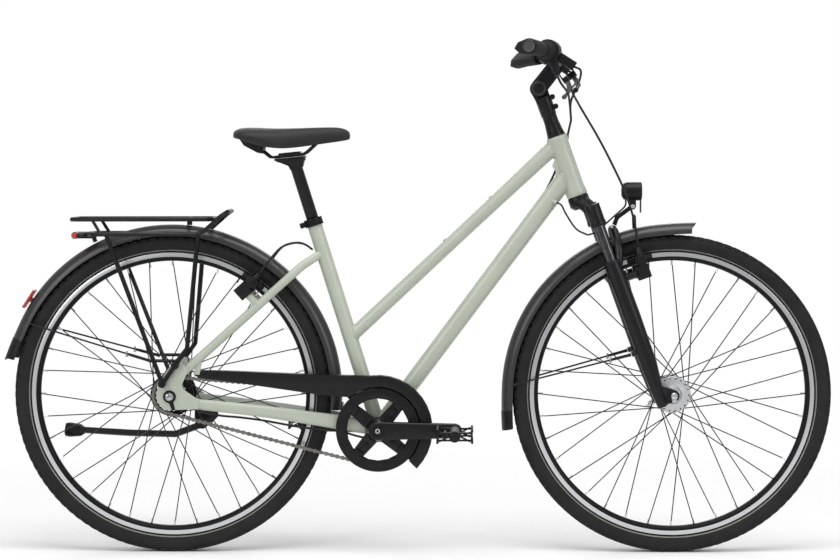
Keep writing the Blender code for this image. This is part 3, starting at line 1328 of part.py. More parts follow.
def chain_guard():
    """A channel over the chain's upper run, walled behind where it goes round the chainring."""
    def outline(inset, reach):
        outer = CHAIN_GUARD_OUTER - inset
        inner = CHAIN_GUARD_INNER - reach
        points = [
            xz(at(0.0600 + inset, 0.3935 - reach)),
            xz(at(0.0560 + inset, 0.4100 - inset)),
            xz(at(0.1420, 0.4078 - inset)),
            xz(at(0.3300, 0.4000 - inset)),
        ]
        points += arc(xz(BRACKET), outer, 98, -45, 14)
        points += arc(xz(BRACKET), inner, -45, 131, 12)
        points += [xz(at(0.3300, 0.3558 - reach)), xz(at(0.1420, 0.3833 - reach))]
        return points

    face = -CHAIN_GUARD_FACE
    shell = plate(outline(0, 0), face, face + CHAIN_GUARD_DEPTH)
    pocket = plate(outline(CHAIN_GUARD_WALL, 0.012), face + CHAIN_GUARD_WALL, face + CHAIN_GUARD_DEPTH + 0.01)
    eyelet = cylinder(GUARD_EYELET + ACROSS * face, GUARD_EYELET + ACROSS * (face + CHAIN_GUARD_WALL), 0.0080, sides=12)
    back = plate(
        arc(xz(BRACKET), CHAIN_GUARD_OUTER, 96, -45, 14) + arc(xz(BRACKET), CHAIN_GUARD_BACK, -45, 96, 12),
        face + CHAIN_GUARD_DEPTH - CHAIN_GUARD_WALL,
        face + CHAIN_GUARD_DEPTH,
    )
    return combined(combined(shell, [eyelet], [pocket]), [back])


part("chain_guard", chain_guard(), BLACK_PLASTIC)


# Stem, handlebar and controls
def column_point(rise, ahead=0.0, y=0.0):
    """A point above the head tube's upper end, measured along the steering axis."""
    return HEAD_TOP - STEER_DOWN * rise + STEER_AHEAD * ahead + ACROSS * y


STEM_PIVOT = column_point(STEM_HEIGHT, -0.0030)
STEM_REACH = Vector((math.cos(STEM_ARM_ANGLE), 0, math.sin(STEM_ARM_ANGLE)))
BAR_CENTRE = STEM_PIVOT + STEM_REACH * STEM_ARM_LENGTH
stem_angle = carrier("stem_axis", STEM_PIVOT, steering)


def stem_base():
    """The cover over the upper bearing, the clamp on the steerer and the tongue of the pivot."""
    top = STEM_HEIGHT - STEM_PIVOT_RADIUS - 0.0008
    profile = [
        (0, CLEARANCE),
        (0.0205, CLEARANCE),
        (0.0185, 0.0130),
        (0.0162, 0.0330),
        (0.0160, 0.0495),
        (0.0172, 0.0500),
        (0.0178, top - 0.0040),
        (0.0150, top),
        (0, top),
    ]
    column = turned(profile[::-1], -STEER_DOWN, HEAD_TOP, 14)
    lowest = math.degrees(math.atan2(STEER_DOWN.z, STEER_DOWN.x))
    outline = arc(xz(STEM_PIVOT), STEM_PIVOT_RADIUS, lowest + 90, lowest + 270, 8)
    outline += [xz(column_point(STEM_HEIGHT - 0.032, -0.0160)), xz(column_point(STEM_HEIGHT - 0.032, 0.0160))]
    tongue = plate(outline, -STEM_TONGUE, STEM_TONGUE)
    bolts = []
    for rise in (0.0640, 0.0860):
        lug = column_point(rise, 0.0200)
        bolts.append(cylinder(lug - ACROSS * 0.0130, lug + ACROSS * 0.0130, 0.0062, sides=10))
        bolts.append(block((0.0110, 0.0180, 0.0150), column_point(rise, 0.0130), 0.0, STEER_AHEAD, STEER_DOWN))
    slot = block((0.0420, 0.0016, 0.0140), column_point(0.0750, 0.0245), 0.0, STEER_AHEAD, STEER_DOWN)
    steerer = clear_bore(column_point(-0.005), column_point(STEERER_ABOVE + CLEARANCE), STEERER_RADIUS, 14)
    pin = clear_bore(STEM_PIVOT - ACROSS * 0.02, STEM_PIVOT + ACROSS * 0.02, STEM_PIN_RADIUS, 8)
    return combined(column, [tongue] + bolts, [slot, steerer, pin])


part("stem_base", stem_base(), BLACK_PAINT, steering)


def stem_arm():
    """Two cheeks round the tongue, joined at the handlebar's clamp."""
    heading = math.degrees(STEM_ARM_ANGLE)
    outline = arc(xz(STEM_PIVOT), STEM_PIVOT_RADIUS, heading + 90, heading + 270, 8)
    outline += arc(xz(BAR_CENTRE), STEM_PIVOT_RADIUS * 0.97, heading - 90, heading + 90, 8)
    arm = plate(outline, -STEM_HALF_WIDTH, STEM_HALF_WIDTH)
    half_slot = STEM_TONGUE + CLEARANCE
    room = arc(xz(STEM_PIVOT), STEM_PIVOT_RADIUS + 0.0077, heading + 75, heading - 75, 6)
    room += [xz(STEM_PIVOT - STEM_REACH * 0.03 - STEM_REACH.cross(ACROSS) * 0.03)]
    room += [xz(STEM_PIVOT - STEM_REACH * 0.03 + STEM_REACH.cross(ACROSS) * 0.03)]
    bar_bore = clear_bore(BAR_CENTRE - ACROSS * 0.03, BAR_CENTRE + ACROSS * 0.03, BAR_RADIUS, 12)
    hollow = combined(arm, cut=[plate(room, -half_slot, half_slot), bar_bore])
    caps = []
    for side in (RIGHT, LEFT):
        face = STEM_PIVOT + ACROSS * side * STEM_HALF_WIDTH
        caps.append(cylinder(face - ACROSS * side * 0.001, face + ACROSS * side * 0.0022, 0.0120, sides=14))
    pin = cylinder(STEM_PIVOT - ACROSS * 0.015, STEM_PIVOT + ACROSS * 0.015, STEM_PIN_RADIUS, sides=8)
    return combined(hollow, caps + [pin])


part("stem_arm", stem_arm(), BLACK_PAINT, stem_angle)


def bar_point(reach, side):
    """A point on the straight end of the handlebar, measured outwards from the bend's end."""
    inner = BAR_CENTRE + Vector((BAR_BEND_X, side * BAR_BEND_Y, BAR_BEND_RISE))
    return inner + bar_heading(side) * reach


def bar_heading(side):
    return Vector((-math.sin(BAR_SWEEP), side * math.cos(BAR_SWEEP), 0.0236)).normalized()


def handlebar():
    half = [Vector((0, 0, 0)), Vector((0, 0.0300, 0)), Vector((-0.0020, 0.0600, 0.0080))]
    half = [BAR_CENTRE + point for point in half]
    half += [bar_point(0, LEFT), bar_point(0.0500, LEFT)]
    bend = smooth_path(half[1:4], 2)
    run = [half[0]] + bend + [bar_point(BAR_STRAIGHT, LEFT)]
    mirrored = [Vector((p.x, -p.y, p.z)) for p in reversed(run[1:])]
    return rod(mirrored + run, BAR_RADIUS, 2)


part("handlebar", handlebar(), BLACK_PAINT, stem_angle)


def grip(side, start, droop):
    """A palm rest: round at the inner end, and drawn out to an edge behind the bar at the outer one."""
    heading = bar_heading(side)
    rearward = Vector((-math.cos(droop), 0, -math.sin(droop)))
    back = (rearward - heading * heading.dot(rearward)).normalized()
    over = heading.cross(back) * side
    end = BAR_STRAIGHT + GRIP_CAP
    stations = (
        (0.00, 1.08, 0.93),
        (0.15, 1.15, 1.00),
        (0.45, 1.62, 1.00),
        (0.80, 2.05, 1.02),
        (0.97, 1.95, 1.00),
        (1.00, 1.80, 0.90),
    )
    sections = []
    for share, wing, size in stations:
        centre = bar_point(start + (end - start) * share, side)
        loop = []
        for k in range(GRIP_SIDES):
            angle = 2 * math.pi * k / GRIP_SIDES
            swell = 1 + (wing - 1) * max(0.0, math.cos(angle)) ** GRIP_EDGE
            radius = GRIP_RADIUS * size * swell
            loop.append(centre + back * radius * math.cos(angle) + over * radius * math.sin(angle))
        sections.append(loop)
    bore = clear_bore(bar_point(start - 0.01, side), bar_point(BAR_STRAIGHT + CLEARANCE, side), BAR_RADIUS, 8)
    return combined(loft(sections), cut=[bore])


part("grip_right", grip(RIGHT, TWIST_END + CLEARANCE, RIGHT_GRIP_DROOP), GRIP_RUBBER, stem_angle)
part("grip_left", grip(LEFT, LEFT_GRIP_START, LEFT_GRIP_DROOP), GRIP_RUBBER, stem_angle)

LEVER_HINGE = Vector((0.831, 0, 0.556))
LEVER_PULL = Vector((-0.556, 0, 0.831))
CYLINDER_HEADING = Vector((0.839, 0, -0.543))


def control_point(side, ahead=0.0, outward=0.0):
    """A point before the brake clamp, along the cylinder's block and outwards along the bar."""
    return bar_point(CLAMP_MIDDLE, side) + CYLINDER_HEADING * ahead + ACROSS * side * outward


def lever_pivot(side):
    return control_point(side, 0.0500, -0.0050) + Vector((0.0010, 0, -0.0222))


def lever_mount(side):
    heading = bar_heading(side)
    clamp = cylinder(
        bar_point(CLAMP_MIDDLE - 0.0090, side), bar_point(CLAMP_MIDDLE + 0.0090, side), 0.0172, sides=16
    )
    body = block((0.0190, 0.0280, 0.0460), control_point(side, 0.0350), 0.0, CYLINDER_HEADING, LEVER_PULL)
    hinge = lever_pivot(side)
    pieces = [body]
    for end in (-1, 1):
        ear_start = hinge + LEVER_HINGE * end * LEVER_EAR_INNER
        ear_end = hinge + LEVER_HINGE * end * (LEVER_EAR_INNER + 0.0030)
        pieces.append(cylinder(ear_start, ear_end, 0.0075, sides=8))
        root = (ear_start + ear_end) / 2 + LEVER_PULL * 0.0080
        pieces.append(block((0.0180, 0.0120, 0.0030), root, 0.0, LEVER_HINGE, LEVER_PULL))
    pieces.append(cylinder(hinge - LEVER_HINGE * 0.0095, hinge + LEVER_HINGE * 0.0095, LEVER_PIN_RADIUS, sides=6))
    if side == RIGHT:
        pieces += [
            cylinder(bar_point(HOUSING_START, side), bar_point(HOUSING_END, side), HOUSING_RADIUS, sides=16),
            cylinder(
                bar_point(HOUSING_START + 0.0030, side),
                bar_point(HOUSING_START + 0.0130, side) + Vector((0.0180, 0, -0.0520)),
                0.0170,
                0.0060,
                8,
            ),
            cylinder(bar_point(CLAMP_MIDDLE, side), bar_point(HOUSING_START + 0.002, side), 0.0150, sides=8),
        ]
    bore = clear_bore(bar_point(-0.004, side), bar_point(0.120, side), BAR_RADIUS, 10)
    return combined(clamp, pieces, [bore])


def brake_lever(side):
    hinge = lever_pivot(side)
    stations = []
    for across, pull, fore, height, width in (
        (-0.0040, -0.0014, 0.0000, 0.0050, 0.0056),
        (0.0120, -0.0060, 0.0000, 0.0050, 0.0056),
        (0.0450, -0.0160, -0.0010, 0.0042, 0.0064),
        (0.0850, -0.0270, -0.0060, 0.0040, 0.0062),
        (0.1220, -0.0300, -0.0160, 0.0040, 0.0058),
        (0.1330, -0.0310, -0.0190, 0.0064, 0.0068),
        (0.1400, -0.0315, -0.0205, 0.0050, 0.0052),
    ):
        centre = hinge + ACROSS * side * across + LEVER_PULL * pull + LEVER_HINGE * fore
        stations.append((centre, height, width))
    blade = oval_tube(stations, 6, across=LEVER_HINGE)
    half = LEVER_EAR_INNER - CLEARANCE
    boss = cylinder(hinge - LEVER_HINGE * half, hinge + LEVER_HINGE * half, 0.0070, sides=8)
    bore = clear_bore(hinge - LEVER_HINGE * 0.02, hinge + LEVER_HINGE * 0.02, LEVER_PIN_RADIUS, 6)
    return combined(boss, [blade], [bore])


for control_side, control_name in ((RIGHT, "right"), (LEFT, "left")):
    part("lever_mount_" + control_name, lever_mount(control_side), BLACK_PLASTIC, stem_angle)
    lever_group = carrier("lever_axis_" + control_name, lever_pivot(control_side), stem_angle)
    part("brake_lever_" + control_name, brake_lever(control_side), ANODISED, lever_group)

twist_group = carrier("twist_axis", bar_point(HOUSING_END, RIGHT), stem_angle)
twist_axis = bar_heading(RIGHT)
twist_profile = [
    (BAR_RADIUS + CLEARANCE, 0),
    (0.0215, 0),
    (0.0195, 0.0060),
    (0.0175, 0.0120),
    (0.0175, TWIST_END - HOUSING_END - 2 * CLEARANCE),
    (BAR_RADIUS + CLEARANCE, TWIST_END - HOUSING_END - 2 * CLEARANCE),
]
twist = turned(twist_profile, twist_axis, bar_point(HOUSING_END + CLEARANCE, RIGHT), 16, closed=True)
part("twist_shifter", twist, GRIP_RUBBER, twist_group)


# Brakes at the rims
def rim_brake(side, centre, along, normal, boss_end, tail, release):
    """A hydraulic cylinder on its adapter block. along runs to the hose, and normal away from the stud."""
    reach = ACROSS * side
    block_centre = boss_end + normal * (0.0152 + CLEARANCE) - along * 0.0015
    block_centre.y = side * 0.0430
    pieces = [
        block((0.0300, 0.0260, 0.0304), block_centre, 0.0, along, normal),
        cylinder(centre + reach * 0.0560, centre + reach * 0.0640, 0.0100, 0.0085, 10),
        cylinder(centre + reach * 0.0490, tail + reach * 0.0490, 0.0100, 0.0060, 8),
    ]
    if release:
        arm = centre + along * 0.0150 + normal * 0.0130 + reach * 0.0330
        pieces.append(block((0.0028, 0.0120, 0.0420), arm, 0.0, along, normal))
    body = cylinder(centre + reach * CALIPER_INNER, centre + reach * CALIPER_OUTER, CALIPER_RADIUS, sides=12)
    return combined(body, pieces)


def brake_pad(side, axle, angle):
    """A block along the rim, on a backing plate with a round boss."""
    outward = polar(Vector(), 1, angle)
    forward = outward.cross(ACROSS)
    inner = RIM_HALF_WIDTH + PAD_GAP
    outer = CALIPER_INNER - CLEARANCE
    middle = polar(axle, PAD_TRACK_RADIUS, angle, side * (inner + PAD_THICKNESS / 2))
    rubber = block((PAD_HEIGHT, PAD_THICKNESS, PAD_LENGTH), middle, 0.0, forward, outward)
    boss_at = polar(axle, PAD_TRACK_RADIUS, angle)
    boss = cylinder(boss_at + ACROSS * side * (inner + 0.004), boss_at + ACROSS * side * outer, 0.0062, sides=8)
    return combined(rubber, [boss])


rear_brake_angle = math.radians(54.3)
front_brake_angle = math.radians(103.6)
rear_caliper = polar(REAR_AXLE, PAD_TRACK_RADIUS, rear_brake_angle)
front_caliper = polar(FRONT_AXLE, PAD_TRACK_RADIUS, front_brake_angle)
rear_stud = REAR_BRAKE_BOSS + STAY_NORMAL * REAR_BOSS_HEIGHT - STAY_ALONG * 0.0010
front_stud = steering_point(FRONT_BRAKE_DEPTH, FRONT_BOSS_AHEAD)
rear_tail = rear_caliper + Vector((0.0160, 0, 0.0175))
front_tail = front_caliper - STEER_DOWN * 0.0270 + STEER_AHEAD * 0.0030
for brake_side, brake_name in ((RIGHT, "right"), (LEFT, "left")):
    rear_unit = rim_brake(brake_side, rear_caliper, STAY_ALONG, STAY_NORMAL, rear_stud, rear_tail, brake_side == RIGHT)
    part("rear_brake_" + brake_name, rear_unit, BLACK_PLASTIC)
    front_unit = rim_brake(
        brake_side, front_caliper, -STEER_DOWN, STEER_AHEAD, front_stud, front_tail, False
    )
    part("front_brake_" + brake_name, front_unit, BLACK_PLASTIC, suspension)
    rear_pad = brake_pad(brake_side, REAR_AXLE, rear_brake_angle)
    rear_pad_group = carrier("rear_pad_axis_" + brake_name, rear_caliper)
    part("rear_pad_" + brake_name, rear_pad, PAD_RUBBER, rear_pad_group)
    front_pad = brake_pad(brake_side, FRONT_AXLE, front_brake_angle)
    front_pad_group = carrier("front_pad_axis_" + brake_name, front_caliper, suspension)
    part("front_pad_" + brake_name, front_pad, PAD_RUBBER, front_pad_group)


# Rack
def rack():
    """A deck loop and a lower rail that rises to a hoop at the front, on four struts."""
    half_deck = [at(0.0900, DECK_HEIGHT, 0.0), at(0.0940, DECK_HEIGHT, 0.0480), at(0.0820, DECK_HEIGHT, RACK_HALF_WIDTH)]
    half_deck += [at(-0.2020, DECK_HEIGHT, RACK_HALF_WIDTH), at(-0.2160, DECK_HEIGHT, 0.0500), at(-0.2214 + RACK_TUBE_RADIUS, DECK_HEIGHT, 0.0360)]
    mirrored = [Vector((p.x, -p.y, p.z)) for p in reversed(half_deck[1:])]
    deck = rod(half_deck + mirrored, RACK_TUBE_RADIUS, 1, closed=True)
    half_rail = [at(-0.1850, LOWER_RAIL_HEIGHT, 0.0400), at(-0.1700, LOWER_RAIL_HEIGHT, RACK_RAIL_SPREAD)]
    half_rail += [at(0.0560, LOWER_RAIL_HEIGHT, RACK_RAIL_SPREAD), at(0.0760, LOWER_RAIL_HEIGHT + 0.0060, RACK_RAIL_SPREAD)]
    half_rail += [at(0.1150, DECK_HEIGHT + 0.0080, RACK_RAIL_SPREAD - 0.003), at(0.1280, DECK_HEIGHT + 0.0165, RACK_RAIL_SPREAD - 0.016)]
    mirrored = [Vector((p.x, -p.y, p.z)) for p in reversed(half_rail)]
    rail = rod(half_rail + mirrored, RACK_TUBE_RADIUS, 1, closed=True)
    thin = RACK_TUBE_RADIUS * 0.7
    pieces = [rail]
    for y in (-0.0210, 0.0210):
        pieces.append(rod([at(-0.2160, DECK_HEIGHT, y), at(0.0920, DECK_HEIGHT, y)], thin, 0))
    guard_top = REAR_AXLE.z + math.sqrt(MUDGUARD_RADIUS ** 2 - (0.0385 - 0.0060) ** 2)
    pieces.append(rod([at(0.0385, DECK_HEIGHT, -0.0600), at(0.0385, DECK_HEIGHT, 0.0600)], thin, 0))
    pieces.append(cylinder(at(0.0385, guard_top + CLEARANCE), at(0.0385, DECK_HEIGHT), 0.0060, sides=8))
    rear_top = REAR_AXLE.z + math.sqrt(MUDGUARD_RADIUS ** 2 - 0.1720 ** 2)
    pieces.append(cylinder(at(-0.1720, rear_top + 0.0028), at(-0.1790, LOWER_RAIL_HEIGHT), 0.0050, sides=8))
    pieces.append(block((0.0300, 0.0820, 0.0130), at(-0.1900, LOWER_RAIL_HEIGHT - 0.003)))
    for side in (RIGHT, LEFT):
        pieces.append(rod([at(-0.1700, DECK_HEIGHT, side * RACK_HALF_WIDTH), at(-0.1500, LOWER_RAIL_HEIGHT, side * RACK_RAIL_SPREAD)], thin, 0))
        foot = Vector((RACK_FOOT.x, side * RACK_FOOT_SPREAD, RACK_FOOT.z))
        bolt = Vector((RACK_UPPER_BOLT.x, side * RACK_FOOT_SPREAD, RACK_UPPER_BOLT.z))
        rear = [at(-0.1387, LOWER_RAIL_HEIGHT, side * RACK_RAIL_SPREAD), foot]
        front = [
            at(0.0639, LOWER_RAIL_HEIGHT, side * RACK_RAIL_SPREAD),
            at(0.0505, 0.5667, side * 0.0715),
            at(0.0400, 0.4600, side * RACK_FOOT_SPREAD),
            bolt,
            foot,
        ]
        pieces.append(rod(rear, RACK_TUBE_RADIUS, 1))
        pieces.append(rod(front, RACK_TUBE_RADIUS, 1))
        link_rear = rack_strut_point(0.155)
        link = [Vector((link_rear.x, side * link_rear.y, link_rear.z)), at(0.0200, 0.4330, side * RACK_FOOT_SPREAD)]
        pieces.append(rod(link, thin, 0))
        for spot in (foot, bolt):
            head = spot + ACROSS * side * 0.0090
            pieces.append(cylinder(spot - ACROSS * side * (RACK_TUBE_RADIUS - 0.0004), head, 0.0076, sides=8))
    return combined(deck, pieces)


part("rack", rack(), BLACK_PAINT)
light_front = -0.2050 - CLEARANCE
rear_light = block((0.0150, 0.0780, 0.0150), at(light_front - 0.0075, LOWER_RAIL_HEIGHT - 0.003), 0.0040)
part("rack_light", rear_light, RED_LENS)


# Seat
POST_TOP = SEAT_TOP + SEAT_UP * POST_EXPOSED
RAIL_RISE = 0.0060


def rail_height(x):
    """Height of the saddle rails' straight part, which slopes up a little towards the nose."""
    return 0.8800 + (x - 0.2279) * 0.0993


def seatpost():
    post = cylinder(SEAT_TOP - SEAT_UP * POST_INSERTION, POST_TOP + SEAT_UP * 0.008, POST_RADIUS, sides=16)
    rail_gap = SADDLE_RAIL_RADIUS + CLEARANCE
    outline = [
        xz(at(0.2300, rail_height(0.2300) - rail_gap)),
        xz(at(0.2300, rail_height(0.2300) - 0.0080)),
        xz(POST_TOP + Vector((-0.0170, 0, 0.0030))),
        xz(POST_TOP + Vector((-0.0120, 0, -0.0060))),
        xz(POST_TOP + Vector((0.0150, 0, 0.0010))),
        xz(at(0.2960, rail_height(0.2960) - 0.0090)),
        xz(at(0.2980, rail_height(0.2980) - rail_gap)),
    ]
    cradle = plate(outline, -0.0270, 0.0270)
    waist = []
    for side in (RIGHT, LEFT):
        cut = [xz(POST_TOP + Vector((-0.06, 0, -0.03))), xz(POST_TOP + Vector((0.06, 0, -0.03)))]
        cut += [xz(at(0.3100, rail_height(0.3100) - 0.0110)), xz(at(0.2200, rail_height(0.2200) - 0.0090))]
        low, high = sorted((side * 0.0160, side * 0.0300))
        waist.append(plate(cut, low, high))
    head = combined(cradle, cut=waist)
    bolts = []
    for x, z in ((0.2370, 0.8730), (0.2930, 0.8760)):
        bolts.append(cylinder(at(x, z, -0.0120), at(x, z, 0.0120), 0.0045, sides=8))
    return combined(post, [head] + bolts)


part("seatpost", seatpost(), BLACK_PAINT, seat_height)

SADDLE_STATIONS = (
    (0.1390, 0.0420, 0.9350, 0.9240),
    (0.1440, 0.0600, 0.9405, 0.9215),
    (0.1560, 0.0745, 0.9450, 0.9190),
    (0.1750, 0.0810, 0.9462, 0.9130),
    (0.2000, 0.0790, 0.9455, 0.9050),
    (0.2250, 0.0680, 0.9442, 0.8995),
    (0.2500, 0.0540, 0.9440, 0.8990),
    (0.2800, 0.0410, 0.9447, 0.9020),
    (0.3150, 0.0310, 0.9458, 0.9065),
    (0.3500, 0.0255, 0.9466, 0.9115),
    (0.3750, 0.0220, 0.9460, 0.9150),
    (0.3900, 0.0170, 0.9410, 0.9175),
    (0.3970, 0.0100, 0.9335, 0.9200),
)
SADDLE_DEPTH = 0.0110


def saddle_section(x, half_width, top, edge):
    """One side's points from the crown, over the drawn-in side, to the underside's middle."""
    depth = top - edge
    roof = min(edge + SADDLE_DEPTH, top - 0.0070)
    return [
        (0.00, top - 0.0006),
        (0.30 * half_width, top),
        (0.62 * half_width, top - 0.07 * depth),
        (0.86 * half_width, top - 0.24 * depth),
        (0.98 * half_width, top - 0.48 * depth),
        (1.00 * half_width, top - 0.68 * depth),
        (0.95 * half_width, edge + 0.12 * depth),
        (0.88 * half_width, edge),
        (0.80 * half_width, edge + 0.002),
        (0.76 * half_width, roof),
        (0.00, roof),
    ]


def saddle():
    sections = []
    for x, half_width, top, edge in SADDLE_STATIONS:
        half = saddle_section(x, half_width, top, edge)
        loop = [at(x, z, y) for y, z in half]
        loop += [at(x, z, -y) for y, z in reversed(half[1:-1])]
        sections.append(loop)
    return loft(sections)


def saddle_base():
    """The stiff shell inside the cover, the guard behind it and the two rails."""
    sections = []
    for x, half_width, top, edge in SADDLE_STATIONS[2:-2]:
        roof = min(edge + SADDLE_DEPTH, top - 0.0070) - CLEARANCE
        reach = 0.70 * half_width
        loop = [at(x, roof, -reach), at(x, roof, reach), at(x, roof - 0.0050, reach), at(x, roof - 0.0050, -reach)]
        sections.append(loop)
    shell = loft(sections)
    tail = [
        xz(at(0.1540, 0.9190)),
        xz(at(0.1630, 0.9060)),
        xz(at(0.1930, 0.8900)),
        xz(at(0.2040, 0.8880)),
        xz(at(0.2080, 0.9080)),
        xz(at(0.1900, 0.9160)),
        xz(at(0.1700, 0.9235)),
    ]
    pieces = [plate(tail, -0.0330, 0.0330)]
    for side in (RIGHT, LEFT):
        run = [
            at(0.1960, 0.9000, side * (SADDLE_RAIL_SPREAD + 0.003)),
            at(0.2200, rail_height(0.2200) + 0.0012, side * SADDLE_RAIL_SPREAD),
            at(0.2290, rail_height(0.2290), side * SADDLE_RAIL_SPREAD),
            at(0.2920, rail_height(0.2920), side * SADDLE_RAIL_SPREAD),
            at(0.3010, rail_height(0.3010) + 0.0040, side * (SADDLE_RAIL_SPREAD - 0.001)),
            at(0.3200, 0.9085, side * 0.0170),
            at(0.3260, 0.9160, side * 0.0150),
        ]
        pieces.append(rod(run, SADDLE_RAIL_RADIUS, 1))
    clamp = [
        xz(at(0.2360, rail_height(0.2360) - 0.0010)),
        xz(at(0.2900, rail_height(0.2900) - 0.0010)),
        xz(at(0.2860, rail_height(0.2860) + 0.0075)),
        xz(at(0.2400, rail_height(0.2400) + 0.0075)),
    ]
    pieces.append(plate(clamp, -0.0270, 0.0270))
    return combined(shell, pieces)


part("saddle", saddle(), SADDLE_SKIN, seat_height, 60)
part("saddle_base", saddle_base(), BLACK_PLASTIC, seat_height)

# Kickstand
STAND_OUT = Vector((0, 0.925, 0.380)).normalized()


def kickstand_bracket():
    boss = cylinder(kickstand_pivot - STAND_OUT * 0.0260, kickstand_pivot - STAND_OUT * CLEARANCE, 0.0150, sides=12)
    outline = [
        xz(at(0.0420, 0.3262)),
        xz(at(0.0650, 0.3228)),
        xz(at(0.0900, 0.3197)),
        xz(at(0.0940, 0.2960)),
        xz(at(0.0780, 0.2790)),
        xz(at(0.0480, 0.2790)),
        xz(at(0.0400, 0.2950)),
    ]
    return combined(plate(outline, 0.0520, REAR_SPACING - CLEARANCE), [boss])


def kickstand_leg():
    head = cylinder(kickstand_pivot, kickstand_pivot + STAND_OUT * 0.0185, 0.0145, sides=12)
    root = kickstand_pivot + STAND_OUT * 0.0100
    leg = rod(
        [root, at(0.0440, 0.2700, 0.0975), at(-0.0089, 0.2500, 0.1000), at(-0.1132, 0.2530, 0.0985), at(-0.2220, 0.2600, 0.0960)],
        [0.0085, 0.0085, 0.0080, 0.0078, 0.0075],
        1,
    )
    foot = oval_tube(
        [
            (at(-0.2160, 0.2590, 0.0960), 0.0085, 0.0085),
            (at(-0.2240, 0.2595, 0.0960), 0.0140, 0.0110),
            (at(-0.2500, 0.2605, 0.0960), 0.0168, 0.0120),
            (at(-0.2590, 0.2608, 0.0960), 0.0150, 0.0110),
            (at(-0.2606, 0.2610, 0.0960), 0.0110, 0.0080),
        ],
        10,
        2.4,
    )
    return combined(head, [leg, foot])


part("kickstand_bracket", kickstand_bracket(), BLACK_PAINT)
part("kickstand", kickstand_leg(), BLACK_PAINT, kickstand)


# Cables and hoses
def hose(routes, radius=HOSE_RADIUS):
    """Hand-laid routes, each a smooth tube, joined where one branches from another."""
    tubes = [rod([Vector(point) for point in route], radius, 1) for route in routes]
    return combined(tubes[0], tubes[1:])


def rear_hose_end(side):
    return rear_tail + ACROSS * side * 0.0490 + Vector((0.67, 0, 0.74)) * (CLEARANCE + 0.0002)


def front_hose_end(side):
    return front_tail + ACROSS * side * 0.0490 - STEER_DOWN * (CLEARANCE + 0.0003)


rear_brake_hose = hose([
    [
        at(0.3125, 0.6745, 0.0),
        at(0.2960, 0.6860, -0.002),
        at(0.2764, 0.6904, -0.008),
        at(0.2450, 0.6810, -0.026),
        at(0.2170, 0.6500, -0.044),
        rear_hose_end(RIGHT),
    ],
    [
        at(0.2900, 0.6885, -0.004),
        at(0.2700, 0.6895, 0.006),
        at(0.2430, 0.6800, 0.026),
        at(0.2170, 0.6500, 0.044),
        rear_hose_end(LEFT),
    ],
])
part("rear_brake_hose", rear_brake_hose, CABLE_BLACK)

shift_cable = hose([
    [
        at(0.4390, 0.2545, -0.0270),
        at(0.4100, 0.2620, -0.0310),
        at(0.3668, 0.2735, -0.0350),
        at(0.2903, 0.2822, -0.0430),
        at(0.2095, 0.2976, -0.0500),
        at(0.1557, 0.3055, -0.0550),
        at(0.1087, 0.3105, -0.0600),
        at(0.0600, 0.3212, -0.0700),
    ],
])
clips = [
    block((0.0120, 0.0080, 0.0072), at(0.3443, 0.2772, -0.0373)),
    block((0.0120, 0.0080, 0.0074), at(0.2095, 0.3005, -0.0500)),
]
part("shift_cable", combined(shift_cable, clips), CABLE_BLACK)

front_brake_hose = hose([
    [
        control_point(LEFT, 0.0580 + CLEARANCE),
        control_point(LEFT, 0.0700),
        at(0.8990, 1.0450, 0.0700),
        at(0.8880, 1.0280, 0.0100),
        at(0.9050, 0.9900, -0.0270),
        at(0.9471, 0.9168, -0.0400),
        at(0.9804, 0.8509, -0.0500),
        at(1.0025, 0.8026, -0.0520),
        at(1.0167, 0.7609, -0.0520),
        at(1.0258, 0.7257, -0.0500),
        front_hose_end(RIGHT),
    ],
    [
        at(1.0250, 0.7290, -0.0500),
        at(1.0262, 0.7470, -0.0280),
        at(1.0262, 0.7500, 0.0),
        at(1.0262, 0.7460, 0.0280),
        at(1.0290, 0.7160, 0.0480),
        front_hose_end(LEFT),
    ],
])
part("front_brake_hose", front_brake_hose, CABLE_BLACK, steering)

pod_end = bar_point(HOUSING_START + 0.0130, RIGHT) + Vector((0.0180, 0, -0.0520))
port_end = LEFT_PORT + LEFT_PORT_WAY * CLEARANCE
port_lead = LEFT_PORT + LEFT_PORT_WAY * 0.0100
control_cables = hose([
    [
        control_point(RIGHT, 0.0580 + CLEARANCE),
        control_point(RIGHT, 0.0740),
        at(0.8990, 1.0420, -0.0880),
        at(0.8830, 1.0000, -0.0580),
        at(0.8850, 0.9600, -0.0260),
        at(0.8800, 0.9310, 0.0080),
        at(0.8790, 0.9180, 0.0190),
        at(0.8720, 0.9020, 0.0285),
        at(0.8640, 0.8800, 0.0300),
        at(0.8450, 0.8300, 0.0320),
        at(0.8130, 0.7720, 0.0330),
        port_lead,
        port_end,
    ],
    [
        pod_end + Vector((0.0010, 0, -0.0016)),
        pod_end + Vector((0.0080, 0.0040, -0.0160)),
        at(0.8740, 1.0180, -0.1050),
        at(0.8800, 0.9990, -0.0600),
        at(0.8830, 0.9800, -0.0420),
    ],
])
part("control_cables", control_cables, CABLE_BLACK, steering)

lamp_cable = hose([
    [
        RIGHT_PORT + RIGHT_PORT_WAY * CLEARANCE,
        at(0.8644, 0.7728, -0.0300),
        at(0.8740, 0.7540, -0.0330),
        at(0.8961, 0.7215, -0.0350),
        at(0.9217, 0.7077, -0.0360),
        at(0.9420, 0.7150, -0.0370),
        at(0.9630, 0.7338, -0.0330),
        at(0.9886, 0.7554, -0.0170),
        at(1.0030, 0.7680, -0.0125),
        at(1.0070, 0.7760, -0.0110),
        at(1.0070, 0.7846, -0.0100),
    ],
], 0.0020)
part("lamp_cable", lamp_cable, CABLE_BLACK, suspension)
